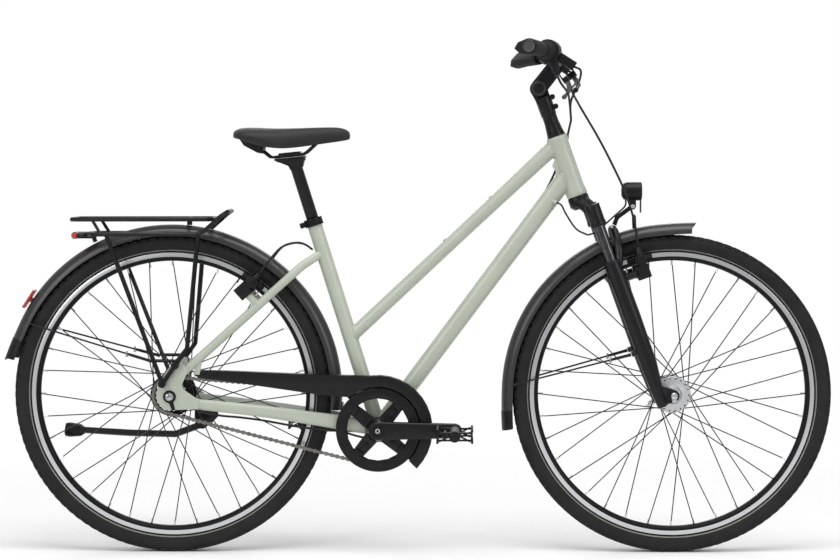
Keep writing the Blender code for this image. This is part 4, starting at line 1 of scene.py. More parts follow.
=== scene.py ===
# %% [markdown]
# # A city bicycle with a low frame, dressed over its CAD solids
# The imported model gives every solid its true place, in metres, with X forward, Z up and the
# chain side at negative Y. This lesson keeps those solids where their shape is already right,
# and lays finer pieces over the ones that a rider sees up close: tyres, spokes, chain, saddle.

# %% Load the fixed frame
import json
import math

import bmesh
import bpy
from mathutils import Matrix, Vector

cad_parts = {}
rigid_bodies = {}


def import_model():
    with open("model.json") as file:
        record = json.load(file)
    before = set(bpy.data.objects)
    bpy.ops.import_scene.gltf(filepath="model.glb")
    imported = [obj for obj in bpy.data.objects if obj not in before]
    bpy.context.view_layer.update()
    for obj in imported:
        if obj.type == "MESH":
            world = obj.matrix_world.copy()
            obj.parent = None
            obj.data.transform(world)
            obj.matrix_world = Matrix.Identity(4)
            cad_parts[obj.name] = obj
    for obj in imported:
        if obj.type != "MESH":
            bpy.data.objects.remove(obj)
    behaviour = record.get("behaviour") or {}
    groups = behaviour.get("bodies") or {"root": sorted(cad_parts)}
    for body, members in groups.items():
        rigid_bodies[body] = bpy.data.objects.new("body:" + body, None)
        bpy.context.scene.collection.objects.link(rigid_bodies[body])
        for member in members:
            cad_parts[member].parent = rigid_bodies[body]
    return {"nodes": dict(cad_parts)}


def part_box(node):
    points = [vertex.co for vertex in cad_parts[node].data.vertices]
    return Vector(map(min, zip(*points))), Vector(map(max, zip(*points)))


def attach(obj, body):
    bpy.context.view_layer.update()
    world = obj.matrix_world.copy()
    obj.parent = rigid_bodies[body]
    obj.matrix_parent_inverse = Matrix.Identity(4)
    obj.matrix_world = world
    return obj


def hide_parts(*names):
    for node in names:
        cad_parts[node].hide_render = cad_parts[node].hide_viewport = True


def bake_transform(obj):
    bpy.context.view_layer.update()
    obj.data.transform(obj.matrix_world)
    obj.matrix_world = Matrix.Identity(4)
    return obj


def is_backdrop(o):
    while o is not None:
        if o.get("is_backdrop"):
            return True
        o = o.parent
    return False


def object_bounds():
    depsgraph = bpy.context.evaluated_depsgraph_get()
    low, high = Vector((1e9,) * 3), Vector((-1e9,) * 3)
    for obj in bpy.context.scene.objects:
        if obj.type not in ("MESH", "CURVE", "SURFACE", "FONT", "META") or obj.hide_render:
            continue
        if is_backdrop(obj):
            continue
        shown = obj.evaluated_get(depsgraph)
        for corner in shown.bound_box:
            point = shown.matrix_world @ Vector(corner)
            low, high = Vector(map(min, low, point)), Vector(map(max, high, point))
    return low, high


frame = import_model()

cad_box = [list(corner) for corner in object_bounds()]
nodes = frame["nodes"]

# %% [markdown]
# The sizes below are the bicycle's own: 28-inch wheels a little over 1.1 m apart. One
# function places a point by its distance ahead of the rear axle, its height and its
# distance to the left of the middle, because every measure of a bicycle starts from an axle.

# %% Sizes and places
TYRE_RADIUS = 0.3535
WHEELBASE = 1.1105
RIGHT = -1
LEFT = 1
SIDES = ((RIGHT, "right"), (LEFT, "left"))
ACROSS = Vector((0, 1, 0))
UPWARD = Vector((0, 0, 1))
REAR_AXLE_X = (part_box("rear_tyre")[0].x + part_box("rear_tyre")[1].x) / 2


def at(x, z, y=0.0):
    return Vector((REAR_AXLE_X + x, y, z))


REAR_AXLE = at(0, TYRE_RADIUS)
FRONT_AXLE = at(WHEELBASE, TYRE_RADIUS)
WHEELS = (("front", FRONT_AXLE), ("rear", REAR_AXLE))
print("rear axle at", [round(value, 4) for value in REAR_AXLE])

# %% [markdown]
# The camera comes first. The photograph was taken from the chain side with a long lens,
# about five metres away and a little above the axles, tilted down by three degrees.

# %% Camera
CAMERA_PLACE = Vector((REAR_AXLE_X + 0.6365, -5.04, 0.871))
CAMERA_PITCH = math.radians(3.0)
CAMERA_YAW = math.radians(-0.97)
CAMERA_ROLL = math.radians(-0.09)
FOCAL_PIXELS = 2268
PHOTO_WIDTH = 840
SENSOR_MM = 36.0
VIEW_DEPTH = 60

lens = bpy.data.cameras.new("camera")
lens.sensor_width = SENSOR_MM
lens.lens = FOCAL_PIXELS * SENSOR_MM / PHOTO_WIDTH
lens.clip_end = VIEW_DEPTH
camera = bpy.data.objects.new("camera", lens)
bpy.context.scene.collection.objects.link(camera)
aim = Vector((
    math.sin(CAMERA_YAW) * math.cos(CAMERA_PITCH),
    math.cos(CAMERA_YAW) * math.cos(CAMERA_PITCH),
    -math.sin(CAMERA_PITCH),
))
turn = aim.to_track_quat("-Z", "Y").to_matrix() @ Matrix.Rotation(CAMERA_ROLL, 3, "Z")
camera.matrix_world = Matrix.Translation(CAMERA_PLACE) @ turn.to_4x4()
bpy.context.scene.camera = camera
print("lens", round(lens.lens, 1), "mm")

# %% [markdown]
# Most pieces are skins over a row of loops. A modelling program would call it lofting: each
# loop is one cross section, and quads join it to the next. Writing the loops out in code
# gives every section its measure, which pushing points about by hand would not.

# %% A skin over loops
MERGE = 1e-6


def skin(loops, closed_path=False, closed_loop=True, caps=True):
    """A mesh over loops of equal count, quads between them, with flat caps at the ends."""
    graph = bmesh.new()
    rows = [[graph.verts.new(point) for point in loop] for loop in loops]
    pairs = list(zip(rows, rows[1:]))
    if closed_path:
        pairs.append((rows[-1], rows[0]))
    count = len(rows[0])
    for one, two in pairs:
        for k in range(count if closed_loop else count - 1):
            after = (k + 1) % count
            graph.faces.new((one[k], one[after], two[after], two[k]))
    if caps and closed_loop and not closed_path:
        graph.faces.new(rows[0][::-1])
        graph.faces.new(rows[-1])
    bmesh.ops.remove_doubles(graph, verts=graph.verts, dist=MERGE)
    bmesh.ops.recalc_face_normals(graph, faces=graph.faces)
    return plain(graph)


def plain(graph):
    """The mesh of a bmesh graph, which is freed."""
    mesh = bpy.data.meshes.new("plain")
    graph.to_mesh(mesh)
    graph.free()
    return mesh


def joined(meshes):
    """Several meshes as one."""
    graph = bmesh.new()
    for mesh in meshes:
        graph.from_mesh(mesh)
        bpy.data.meshes.remove(mesh)
    return plain(graph)


# %% [markdown]
# A hose and a drawn tube are circles swept along a line. The circle's two cross directions
# are carried on from point to point, so that the sweep never twists, and a curve through a
# few measured points gives the line its close, even steps.

# %% Smooth lines and round tubes
def smooth_path(points, per_span):
    """Points of a Catmull-Rom curve through the given ones, so many to each span."""
    path = []
    for index in range(len(points) - 1):
        p1, p2 = points[index], points[index + 1]
        p0 = points[index - 1] if index else p1 * 2 - p2
        p3 = points[index + 2] if index + 2 < len(points) else p2 * 2 - p1
        for step in range(per_span):
            t = step / per_span
            path.append(
                (p1 * 2 + (p2 - p0) * t + (p0 * 2 - p1 * 5 + p2 * 4 - p3) * t * t
                 + (p1 * 3 - p0 - p2 * 3 + p3) * t ** 3) / 2
            )
    path.append(points[-1].copy())
    return path


def frames_along(points, closed=False):
    """For each point its direction and two steady cross directions."""
    count = len(points)
    result = []
    side = None
    for index, point in enumerate(points):
        before = points[index - 1] if index or closed else point
        after = points[(index + 1) % count] if index + 1 < count or closed else point
        along = (after - before).normalized()
        if side is None:
            side = along.cross(UPWARD)
            if side.length < 0.1:
                side = along.cross(ACROSS)
        side = (side - along * side.dot(along)).normalized()
        result.append((point, along, side, along.cross(side)))
    return result


def circle(count):
    """Cosine and sine of even angles round a circle."""
    angles = [2 * math.pi * k / count for k in range(count)]
    return [(math.cos(angle), math.sin(angle)) for angle in angles]


def tube(points, radius, sides, closed=False):
    """A round tube along points, with one radius or a list of them."""
    radii = radius if isinstance(radius, list) else [radius] * len(points)
    loops = [
        [point + side * size * c + up * size * s for c, s in circle(sides)]
        for (point, _, side, up), size in zip(frames_along(points, closed), radii)
    ]
    return skin(loops, closed_path=closed)


# %% [markdown]
# Anything made on a lathe, from a rim to a screw head, is a profile turned about a line. A
# profile is written as pairs of radius and height, in the order in which a tool would cut it.

# %% Turned shapes
def standing(x_axis, y_axis, z_axis, centre):
    """The matrix that puts a shape at centre with these three axes."""
    turn = Matrix((x_axis, y_axis, z_axis)).transposed().to_4x4()
    return Matrix.Translation(centre) @ turn


def facing(direction, centre):
    """A matrix whose Z axis points along direction, with X as near to upward as it can be."""
    z_axis = Vector(direction).normalized()
    up = Vector((1, 0, 0)) if abs(z_axis.dot(UPWARD)) > 0.99 else UPWARD
    y_axis = z_axis.cross(up).normalized()
    return standing(y_axis.cross(z_axis), y_axis, z_axis, centre)


def turned(profile, direction, centre, steps, closed=False):
    """A profile of (radius, height) turned about direction through centre. closed joins its ends."""
    stand = facing(direction, centre)
    loops = [
        [stand @ Vector((radius * c, radius * s, height)) for radius, height in profile]
        for c, s in circle(steps)
    ]
    return skin(loops, closed_path=True, closed_loop=closed, caps=False)


# %% [markdown]
# A finished mesh is put on the CAD body that it moves with, so that it follows the joints.
# It is smooth where it curves gently and sharp where two faces meet at more than an angle.

# %% Put a piece on its body
def place(name, mesh, material, body, smooth, replaces=()):
    """A finished piece, sharp over smooth degrees, riding on one CAD body."""
    mesh.name = name
    mesh.materials.clear()
    mesh.materials.append(material)
    mesh.shade_smooth()
    mesh.set_sharp_from_angle(angle=math.radians(smooth))
    piece = bpy.data.objects.new(name, mesh)
    bpy.context.scene.collection.objects.link(piece)
    if body:
        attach(piece, body)
    if replaces:
        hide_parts(*replaces)
    mesh.calc_loop_triangles()
    print(name, len(mesh.loop_triangles), "triangles")
    return piece


# %% [markdown]
# A photograph gives colours as sRGB hex values, and a shader works in linear light, so one
# function turns them. A second small function adds a node with its settings and its sources,
# and all materials and all trees of nodes are made with these two.

# %% Colour and node helpers
def linear(code):
    channels = [int(code[k:k + 2], 16) / 255 for k in (1, 3, 5)]
    bent = [c / 12.92 if c <= 0.04045 else ((c + 0.055) / 1.055) ** 2.4 for c in channels]
    return (*bent, 1.0)


def add(tree, kind, sources=None, **settings):
    """One node. settings are its properties, or values of inputs by name. sources feeds its
    inputs, by name or number, from a socket, from a node's first output, or with a value."""
    made = tree.nodes.new(kind)
    for name, value in settings.items():
        if hasattr(made, name):
            setattr(made, name, value)
        else:
            made.inputs[name.replace("_", " ")].default_value = value
    for name, source in (sources or {}).items():
        if isinstance(source, bpy.types.Node):
            source = source.outputs[0]
        if isinstance(source, bpy.types.NodeSocket):
            tree.links.new(source, made.inputs[name])
        else:
            made.inputs[name].default_value = source
    return made


def new_material(name, **settings):
    """A material with one principled shader. settings are the shader's own sockets."""
    material = bpy.data.materials.new(name)
    material.use_nodes = True
    tree = material.node_tree
    shader = tree.nodes["Principled BSDF"]
    for socket, value in settings.items():
        shader.inputs[socket.replace("_", " ")].default_value = value
    return material, tree, shader

# %% [markdown]
# ## Finishes
# The frame is aluminium under gloss sage enamel with a clear coat, and most fittings are
# powder coated, anodised or moulded in black. Black on black only reads when each of them
# shines in its own way, so every black gets its own roughness and grain. Grain finer than a
# pixel of the photograph is drawn a little coarser, so that it still breaks up the light.

# %% What a pattern does to a surface
def follow(tree, shader, pattern, colours=None, stops=(0.3, 0.7), rough=None, relief=None):
    """Lets a finish follow a pattern: two colours between two stops of the pattern, a range
    of roughness, and a relief, given as strength and depth in millimetres."""
    if colours:
        tint = add(tree, "ShaderNodeValToRGB", {"Fac": pattern})
        for stop, share, code in zip(tint.color_ramp.elements, stops, colours):
            stop.position = share
            stop.color = linear(code)
        tree.links.new(tint.outputs["Color"], shader.inputs["Base Color"])
    if rough:
        level = add(tree, "ShaderNodeMapRange", {"Value": pattern}, To_Min=rough[0], To_Max=rough[1])
        tree.links.new(level.outputs["Result"], shader.inputs["Roughness"])
    if relief:
        strength, depth_mm = relief
        bump = add(tree, "ShaderNodeBump", {"Height": pattern}, Strength=strength, Distance=depth_mm / 1000)
        tree.links.new(bump.outputs["Normal"], shader.inputs["Normal"])


def grain(tree, shader, size_mm, depth_mm, strength, cells=False):
    """Fine relief with bumps about size_mm across: soft ones, or the pits between cells."""
    place_in = add(tree, "ShaderNodeTexCoord").outputs["Object"]
    if cells:
        texture = add(tree, "ShaderNodeTexVoronoi", {"Vector": place_in}, Scale=1000 / size_mm)
        height = texture.outputs["Distance"]
    else:
        texture = add(tree, "ShaderNodeTexNoise", {"Vector": place_in}, Scale=1000 / size_mm, Detail=2.0)
        height = texture.outputs["Fac"]
    follow(tree, shader, height, relief=(strength, depth_mm))


def mottled(tree, shader, colours, size_mm, rough):
    """Colour and roughness that drift a little across the surface, as on anything handled."""
    place_in = add(tree, "ShaderNodeTexCoord").outputs["Object"]
    clouds = add(tree, "ShaderNodeTexNoise", {"Vector": place_in}, Scale=1000 / size_mm, Detail=3.0)
    follow(tree, shader, clouds.outputs["Fac"], colours, rough=rough)


# %% [markdown]
# Enamel and powder are both baked on, yet they read apart. Enamel flows out before it sets,
# so it keeps one clean highlight. Powder melts grain by grain and breaks its highlight up.
# Anodising isn't a paint: it is the metal's own skin, dyed, so the metal glints through.

# %% Painted and coated metals
def enamel():
    """Gloss enamel on aluminium: an even colour with one clean, soft highlight."""
    material, tree, shader = new_material(
        "sage_gloss_enamel", Coat_Weight=0.4, Coat_Roughness=0.18, IOR=1.5)
    mottled(tree, shader, ("#A7AEA0", "#AEB5A7"), 60, (0.36, 0.42))
    return material


def powder_coat():
    """Satin powder coat: tiny even pimples from the baked powder, which blur its shine."""
    material, tree, shader = new_material("satin_black_powder_coat", IOR=1.5, Specular_IOR_Level=0.26)
    mottled(tree, shader, ("#101012", "#161618"), 25, (0.24, 0.34))
    grain(tree, shader, 1.4, 0.02, 0.25)
    return material


def anodised(name, *colours):
    """Anodised aluminium: a thin dyed oxide that keeps the metal's own glint."""
    material, tree, shader = new_material(name, Metallic=0.75)
    mottled(tree, shader, colours, 12, (0.36, 0.46))
    grain(tree, shader, 0.8, 0.02, 0.3)
    return material


SAGE = enamel()
POWDER = powder_coat()
ANODISED = anodised("black_anodised_aluminium", "#161618", "#1F1F21")
RIM_BLACK = anodised("black_anodised_rim", "#131315", "#1B1B1D")
print("paints", SAGE.name, POWDER.name, ANODISED.name, RIM_BLACK.name)

# %% [markdown]
# Plastics and rubbers take the grain of their mould. A hard nylon is sharp and slightly
# greasy to the eye, polycarbonate is nearly smooth, and rubber is so rough that it hardly
# shines. One function makes them all, because they differ in numbers and not in kind.

# %% Moulded plastics and rubber
def moulded(name, dark, light, size_mm, rough, depth_mm, cells=False, specular=0.24):
    """Moulded plastic or rubber with the grain of its mould."""
    material, tree, shader = new_material(name, IOR=1.5, Specular_IOR_Level=specular)
    mottled(tree, shader, (dark, light), 18, rough)
    grain(tree, shader, size_mm, depth_mm, 0.5, cells)
    return material


# Glass-filled nylon, injected: dull and even, with a short highlight at each edge.
BLACK_NYLON = moulded("black_moulded_nylon", "#0F0F11", "#161618", 1.0, (0.32, 0.44), 0.02)
# Extruded polycarbonate: almost smooth, with one long highlight down the strip.
GUARD_PLASTIC = moulded(
    "dark_grey_polycarbonate", "#262626", "#2C2C2C", 6.0, (0.26, 0.34), 0.002, specular=0.5)
# Soft rubber from a pebbled mould: matt, a little greyer where it is raised.
GRIP_RUBBER = moulded("soft_black_rubber", "#141416", "#1C1C1E", 1.2, (0.62, 0.75), 0.08, True)
# Brake rubber, ground by the rim: the dullest surface on the bicycle.
PAD_RUBBER = moulded("brake_block_rubber", "#1D1D1E", "#28282A", 1.5, (0.75, 0.85), 0.1)
# Extruded sleeve over a wound wire: a thin satin line along the hose.
CABLE_SLEEVE = moulded("black_cable_sleeve", "#171718", "#202022", 0.8, (0.38, 0.5), 0.02)
# Glass-bead tape: a pale grey thread round the tyre, with a fine sparkle.
REFLECTIVE = moulded("reflective_tape", "#7B7A74", "#8E8D86", 0.6, (0.35, 0.5), 0.02, True)
print("plastics", BLACK_NYLON.name, GUARD_PLASTIC.name, GRIP_RUBBER.name)

# %% [markdown]
# Bare metal needs a direction: a brushed or turned surface stretches each highlight across
# its scratches. The rim's brake track is turned, so its scratches are circles round the
# axle, and they are read from the piece's own radius attribute.

# %% Bare metals
def bare_metal(name, dark, light, rough, size_mm=0.7):
    """Polished or plated metal: sharp reflections, softened by a fine unevenness."""
    material, tree, shader = new_material(name, Metallic=1.0)
    mottled(tree, shader, (dark, light), 9, rough)
    grain(tree, shader, size_mm, 0.012, 0.25)
    return material


def turned_metal(name, dark, light, rough, pitch_mm):
    """Metal cut on a lathe: fine rings at each radius, which draw its shine into a fan."""
    material, tree, shader = new_material(name, Metallic=1.0)
    radius = add(tree, "ShaderNodeAttribute", attribute_name="radius_mm").outputs["Fac"]
    rings = add(tree, "ShaderNodeTexNoise", {"W": radius},
                noise_dimensions="1D", Scale=1 / pitch_mm, Detail=2.0)
    follow(tree, shader, rings.outputs["Fac"], (dark, light), (0.35, 0.65), rough, (0.3, 0.02))
    return material


# Real lathe rings are finer than a pixel. The hub's are drawn 8 mm wide, as slow bands of
# shade, and the rim's half a millimetre, as a grey that changes along the track.
HUB_METAL = turned_metal("turned_hub_aluminium", "#BFC1C3", "#C8CACC", (0.44, 0.50), 8.0)
RIM_METAL = turned_metal("turned_rim_aluminium", "#B4B6B8", "#DADCDE", (0.24, 0.34), 0.5)
# Polished aluminium is white with soft edges to what it mirrors.
SILVER = bare_metal("polished_aluminium", "#BFC1C3", "#D9DBDD", (0.20, 0.30))
# Chrome is darker than it seems, because it mirrors sharply, the black parts too.
CHROME = bare_metal("chromed_steel", "#9B9EA1", "#C9CCCF", (0.10, 0.18))
STANCHION_CHROME = bare_metal("dark_chromed_stanchion", "#454648", "#56575A", (0.10, 0.15), 3.0)
# Plain steel is duller and warmer: toothed rings, wire spokes, and links under oil.
DARK_STEEL = bare_metal("dark_steel", "#4A4A4C", "#5E5E60", (0.28, 0.40))
SPOKE_STEEL = bare_metal("stainless_spoke_wire", "#303133", "#424345", (0.26, 0.36))
CHAIN_STEEL = bare_metal("oiled_chain_steel", "#6A6763", "#8E8B86", (0.30, 0.44))
print("metals", RIM_METAL.name, SILVER.name, CHROME.name, CHAIN_STEEL.name)

# %% [markdown]
# A reflector sends light back from corner cubes behind red acrylic, and a lamp glass spreads
# its beam with ribs. Both patterns lie behind a smooth face, which a relief under a low
# roughness or a clear coat stands in for. A wave texture draws a band every 2 pi / 20 units
# at a scale of one, and its scale is worked out from that.

# %% Lenses
CORNER_CUBE_MM = 3.0
RIB_SCALE = 60.0  # a rib every 5.2 mm, as the texture reads metres


def red_reflector():
    """Red acrylic over small corner cubes, which show as a fine diamond pattern."""
    material, tree, shader = new_material(
        "red_prismatic_acrylic", Coat_Weight=1.0, Coat_Roughness=0.04, Roughness=0.25, IOR=1.49)
    place_in = add(tree, "ShaderNodeTexCoord").outputs["Object"]
    cubes = add(tree, "ShaderNodeTexVoronoi", {"Vector": place_in},
                distance="CHEBYCHEV", Scale=1000 / CORNER_CUBE_MM)
    follow(tree, shader, cubes.outputs["Distance"], ("#D23A36", "#7E100F"), (0.0, 0.8), relief=(0.7, 0.4))
    return material


def clear_lens():
    """Clear polycarbonate, ribbed inside so that the beam spreads sideways."""
    material, tree, shader = new_material(
        "clear_polycarbonate", Roughness=0.08, IOR=1.58, Transmission_Weight=0.85,
        Base_Color=linear("#E6ECF0"))
    place_in = add(tree, "ShaderNodeTexCoord").outputs["Object"]
    ribs = add(tree, "ShaderNodeTexWave", {"Vector": place_in}, bands_direction="Y", Scale=RIB_SCALE)
    follow(tree, shader, ribs.outputs["Fac"], relief=(0.5, 0.6))
    return material


RED_LENS = red_reflector()
CLEAR_LENS = clear_lens()
print("lenses", RED_LENS.name, CLEAR_LENS.name)

# %% [markdown]
# Tyre rubber is greyer than the other blacks, because dust stays in it. Its mould was turned
# too, and left fine rings that follow the radius. The saddle's cover is a coated cloth with
# a pebbled grain and a little sheen where light grazes it.

# %% Tyre rubber and saddle cover
MOULD_RING_SCALE = 0.35  # a ring every 0.9 mm, as the attribute is in millimetres


def tyre_rubber():
    """Black tyre rubber, a little dusty, with the fine rings of its mould on the sidewall."""
    material, tree, shader = new_material("tyre_rubber", IOR=1.5, Specular_IOR_Level=0.25)
    mottled(tree, shader, ("#171718", "#222222"), 30, (0.62, 0.78))
    radius = add(tree, "ShaderNodeAttribute", attribute_name="radius_mm").outputs["Fac"]
    place_in = add(tree, "ShaderNodeCombineXYZ", {"X": radius})
    rings = add(tree, "ShaderNodeTexWave", {"Vector": place_in},
                bands_direction="X", wave_profile="TRI", Scale=MOULD_RING_SCALE)
    follow(tree, shader, rings.outputs["Fac"], relief=(0.3, 0.3))
    return material


def saddle_cover():
    """Matt synthetic cover with a fine pebbled grain, as leathercloth has."""
    material, tree, shader = new_material(
        "black_leathercloth", IOR=1.5, Sheen_Weight=0.08, Sheen_Roughness=0.5, Specular_IOR_Level=0.3)
    mottled(tree, shader, ("#19191B", "#212123"), 22, (0.48, 0.60))
    grain(tree, shader, 1.3, 0.12, 0.5, cells=True)
    return material


TYRE_RUBBER = tyre_rubber()
SADDLE_COVER = saddle_cover()
print("rubber and cover", TYRE_RUBBER.name, SADDLE_COVER.name)

# %% [markdown]
# The solids that stay get their finish by name of the slot that the record gives them.

# %% Finish the carried-over solids
FINISHES = {
    "sage_enamel": SAGE,
    "black_powder_coat": POWDER,
    "black_anodised": ANODISED,
    "black_plastic": BLACK_NYLON,
    "mudguard_plastic": GUARD_PLASTIC,
    "tyre_rubber": TYRE_RUBBER,
    "grip_rubber": GRIP_RUBBER,
    "pad_rubber": PAD_RUBBER,
    "cable_black": CABLE_SLEEVE,
    "saddle_cover": SADDLE_COVER,
    "polished_aluminium": SILVER,
    "dark_chrome": CHROME,
    "chain_steel": CHAIN_STEEL,
    "red_lens": RED_LENS,
    "clear_lens": CLEAR_LENS,
}
for name, solid in nodes.items():
    for index, used in enumerate(solid.data.materials):
        key = used.name.split(".")[0] if used else "black_plastic"
        solid.data.materials[index] = FINISHES.get(key, BLACK_NYLON)
print("finished", len(nodes), "solids")

# %% [markdown]
# ## Hoses and cables
# Each brake line, the gear cable and the lamp wire is fixed at both ends. Where a joint
# lies between the ends, the line is cut into two lengths at a sleeve, and each length reaches
# across one joint only.

# %% How a line is laid
HOSE_RADIUS = 0.0025
WIRE_RADIUS = 0.0020


def lay_cord(name, route, radius, start_body, end_body=None, replaces=()):
    """A round line along a route. With end_body it rides on no body and keeps the place it is laid in."""
    path = smooth_path([at(*spot) for spot in route], 8)
    mesh = tube(path, radius, 10)
    piece = place(name, mesh, CABLE_SLEEVE, None if end_body else start_body, 60, replaces)
    if end_body:
        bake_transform(piece)


# %% [markdown]
# Each route is a row of places: distance ahead of the rear axle, height, and distance to the
# left. The brake line and the gear cable of the rear wheel lie along the frame.

# %% Lines on the frame
lay_cord("rear_brake_line_right", (
    (0.3125, 0.6745, 0.0),
    (0.2960, 0.6860, -0.002),
    (0.2764, 0.6904, -0.008),
    (0.2450, 0.6810, -0.026),
    (0.2170, 0.6500, -0.044),
    (0.1972, 0.6231, -0.049),
), HOSE_RADIUS, "frame", replaces=("rear_brake_hose",))
lay_cord("rear_brake_line_left", (
    (0.2900, 0.6885, -0.004),
    (0.2700, 0.6895, 0.006),
    (0.2430, 0.6800, 0.026),
    (0.2170, 0.6500, 0.044),
    (0.1972, 0.6231, 0.049),
), HOSE_RADIUS, "frame")
lay_cord("gear_cable_rear", (
    (0.4390, 0.2545, -0.0270),
    (0.4100, 0.2620, -0.0310),
    (0.3668, 0.2735, -0.0350),
    (0.2903, 0.2822, -0.0430),
    (0.2095, 0.2976, -0.0500),
    (0.1557, 0.3055, -0.0550),
    (0.1087, 0.3105, -0.0600),
    (0.0600, 0.3212, -0.0700),
), HOSE_RADIUS, "frame", replaces=("shift_cable",))

# %% [markdown]
# The front line starts on the bar, which tilts with the stem, and ends at the brake, which
# travels with the fork's legs. It meets the steering's body at a sleeve beside the stem.

# %% Front brake line
FRONT_SLEEVE = (0.9050, 0.9900, -0.0270)
LEG_CLIP = (1.0025, 0.8026, -0.0520)
lay_cord("front_brake_line_upper", (
    (0.8877, 1.0737, 0.1239),
    (0.8975, 1.0674, 0.1239),
    (0.8990, 1.0450, 0.0700),
    (0.8880, 1.0280, 0.0100),
    FRONT_SLEEVE,
), HOSE_RADIUS, "stem", "steering", ("front_brake_hose",))
lay_cord("front_brake_line_lower", (
    FRONT_SLEEVE,
    (0.9471, 0.9168, -0.0400),
    (0.9804, 0.8509, -0.0500),
    LEG_CLIP,
    (1.0167, 0.7609, -0.0520),
    (1.0258, 0.7257, -0.0500),
    (1.0312, 0.6818, -0.0490),
), HOSE_RADIUS, "steering", "suspension")
lay_cord("front_brake_line_left", (
    (1.0250, 0.7290, -0.0500),
    (1.0262, 0.7470, -0.0280),
    (1.0262, 0.7500, 0.0),
    (1.0262, 0.7460, 0.0280),
    (1.0290, 0.7160, 0.0480),
    (1.0312, 0.6818, 0.0490),
), HOSE_RADIUS, "suspension")

# %% [markdown]
# The rear line and the gear cable leave the bar on the chain side, hang beside the stem, and
# go back round the head tube to the frame. The lamp's wire comes out of the down tube.

# %% Lines from the bar and the lamp's wire
REAR_SLEEVE = (0.8850, 0.9600, -0.0260)
HEAD_GUIDE = (0.8450, 0.8300, 0.0320)
CABLE_SLEEVE_END = (0.8830, 0.9800, -0.0420)
LAMP_SLEEVE = (0.9217, 0.7077, -0.0360)
WIRE_EXIT = (0.8547, 0.7789, -0.0227)
BRACKET_CLIP = (0.9630, 0.7338, -0.0330)
lay_cord("rear_brake_line_bar", (
    (0.8877, 1.0737, -0.1239),
    (0.9009, 1.0652, -0.1239),
    (0.8990, 1.0420, -0.0880),
    (0.8830, 1.0000, -0.0580),
    REAR_SLEEVE,
), HOSE_RADIUS, "stem", "steering", ("control_cables",))
lay_cord("rear_brake_line_head", (
    REAR_SLEEVE,
    (0.8800, 0.9310, 0.0080),
    (0.8790, 0.9180, 0.0190),
    (0.8720, 0.9020, 0.0285),
    (0.8640, 0.8800, 0.0300),
    HEAD_GUIDE,
    (0.8130, 0.7720, 0.0330),
    (0.7975, 0.7460, 0.0312),
    (0.7927, 0.7402, 0.0252),
), HOSE_RADIUS, "steering", "frame")
lay_cord("gear_cable_bar", (
    (0.8502, 1.0524, -0.1487),
    (0.8572, 1.0380, -0.1447),
    (0.8740, 1.0180, -0.1050),
    (0.8800, 0.9990, -0.0600),
    CABLE_SLEEVE_END,
), HOSE_RADIUS, "stem", "steering")
lay_cord("lamp_wire_lower", (
    WIRE_EXIT,
    (0.8644, 0.7728, -0.0300),
    (0.8740, 0.7540, -0.0330),
    (0.8961, 0.7215, -0.0350),
    LAMP_SLEEVE,
), WIRE_RADIUS, "frame", "steering", ("lamp_cable",))
lay_cord("lamp_wire_upper", (
    LAMP_SLEEVE,
    (0.9420, 0.7150, -0.0370),
    BRACKET_CLIP,
    (0.9886, 0.7554, -0.0170),
    (1.0030, 0.7680, -0.0125),
    (1.0070, 0.7760, -0.0110),
    (1.0070, 0.7846, -0.0100),
), WIRE_RADIUS, "steering", "suspension")

# %% [markdown]
# ## Wheels
# A tyre is a profile turned about the axle. Its radius, in millimetres, is kept as an
# attribute on every point, because the rings moulded on a sidewall and the turned scratches
# on a rim follow the radius.

# %% Tyre casing
def wheel_part(profile, centre, steps=160):
    """A closed profile of (radius, y) turned about the axle, with its radius kept in mm."""
    return with_radius(turned(profile, ACROSS, centre, steps, closed=True), centre)


def with_radius(mesh, centre):
    """Keeps each point's distance from the axle, in millimetres."""
    values = [1000 * math.hypot(v.co.x - centre.x, v.co.z - centre.z) for v in mesh.vertices]
    mesh.attributes.new("radius_mm", "FLOAT", "POINT").data.foreach_set("value", values)
    return mesh


def mirrored(half):
    """A profile from the left to the middle, and on to the right."""
    return half + [(radius, -y) for radius, y in reversed(half[:-1])]


# The bead, the round sidewall, and the tread's base that the blocks stand on.
CASING = mirrored([
    (0.3098, 0.0098), (0.3180, 0.0100), (0.3200, 0.0128), (0.3235, 0.0158), (0.3285, 0.0187),
    (0.3345, 0.0206), (0.3400, 0.0211), (0.3440, 0.0203), (0.3475, 0.0183), (0.3500, 0.0150),
    (0.3514, 0.0105), (0.3521, 0.0055), (0.3523, 0.0000),
])
print("casing", len(CASING), "points across")

# %% [markdown]
# The tread repeats over a hundred times round the wheel, so it is made with Geometry Nodes:
# a ring of points round the axle, and one block instanced on each, turned so that its height
# points away from the axle. The same small tree serves every row of blocks, and later the
# spoke nipples and the holes of the flanges.

# %% How a tree starts, ends and is grown
def new_tree(name, sockets):
    """A Geometry Nodes tree with named inputs. It returns the tree and those inputs."""
    tree = bpy.data.node_groups.new(name, "GeometryNodeTree")
    for title, kind, value in sockets:
        made = tree.interface.new_socket(title, in_out="INPUT", socket_type="NodeSocket" + kind)
        if value is not None:
            made.default_value = value
    tree.interface.new_socket("Geometry", in_out="OUTPUT", socket_type="NodeSocketGeometry")
    return tree, add(tree, "NodeGroupInput").outputs


def deliver(tree, given, copies):
    """Makes the copies real, coats them, and hands them over."""
    real = add(tree, "GeometryNodeRealizeInstances", {"Geometry": copies})
    coated = add(tree, "GeometryNodeSetMaterial", {"Geometry": real, "Material": given["Material"]})
    add(tree, "NodeGroupOutput", {"Geometry": coated})
    return tree


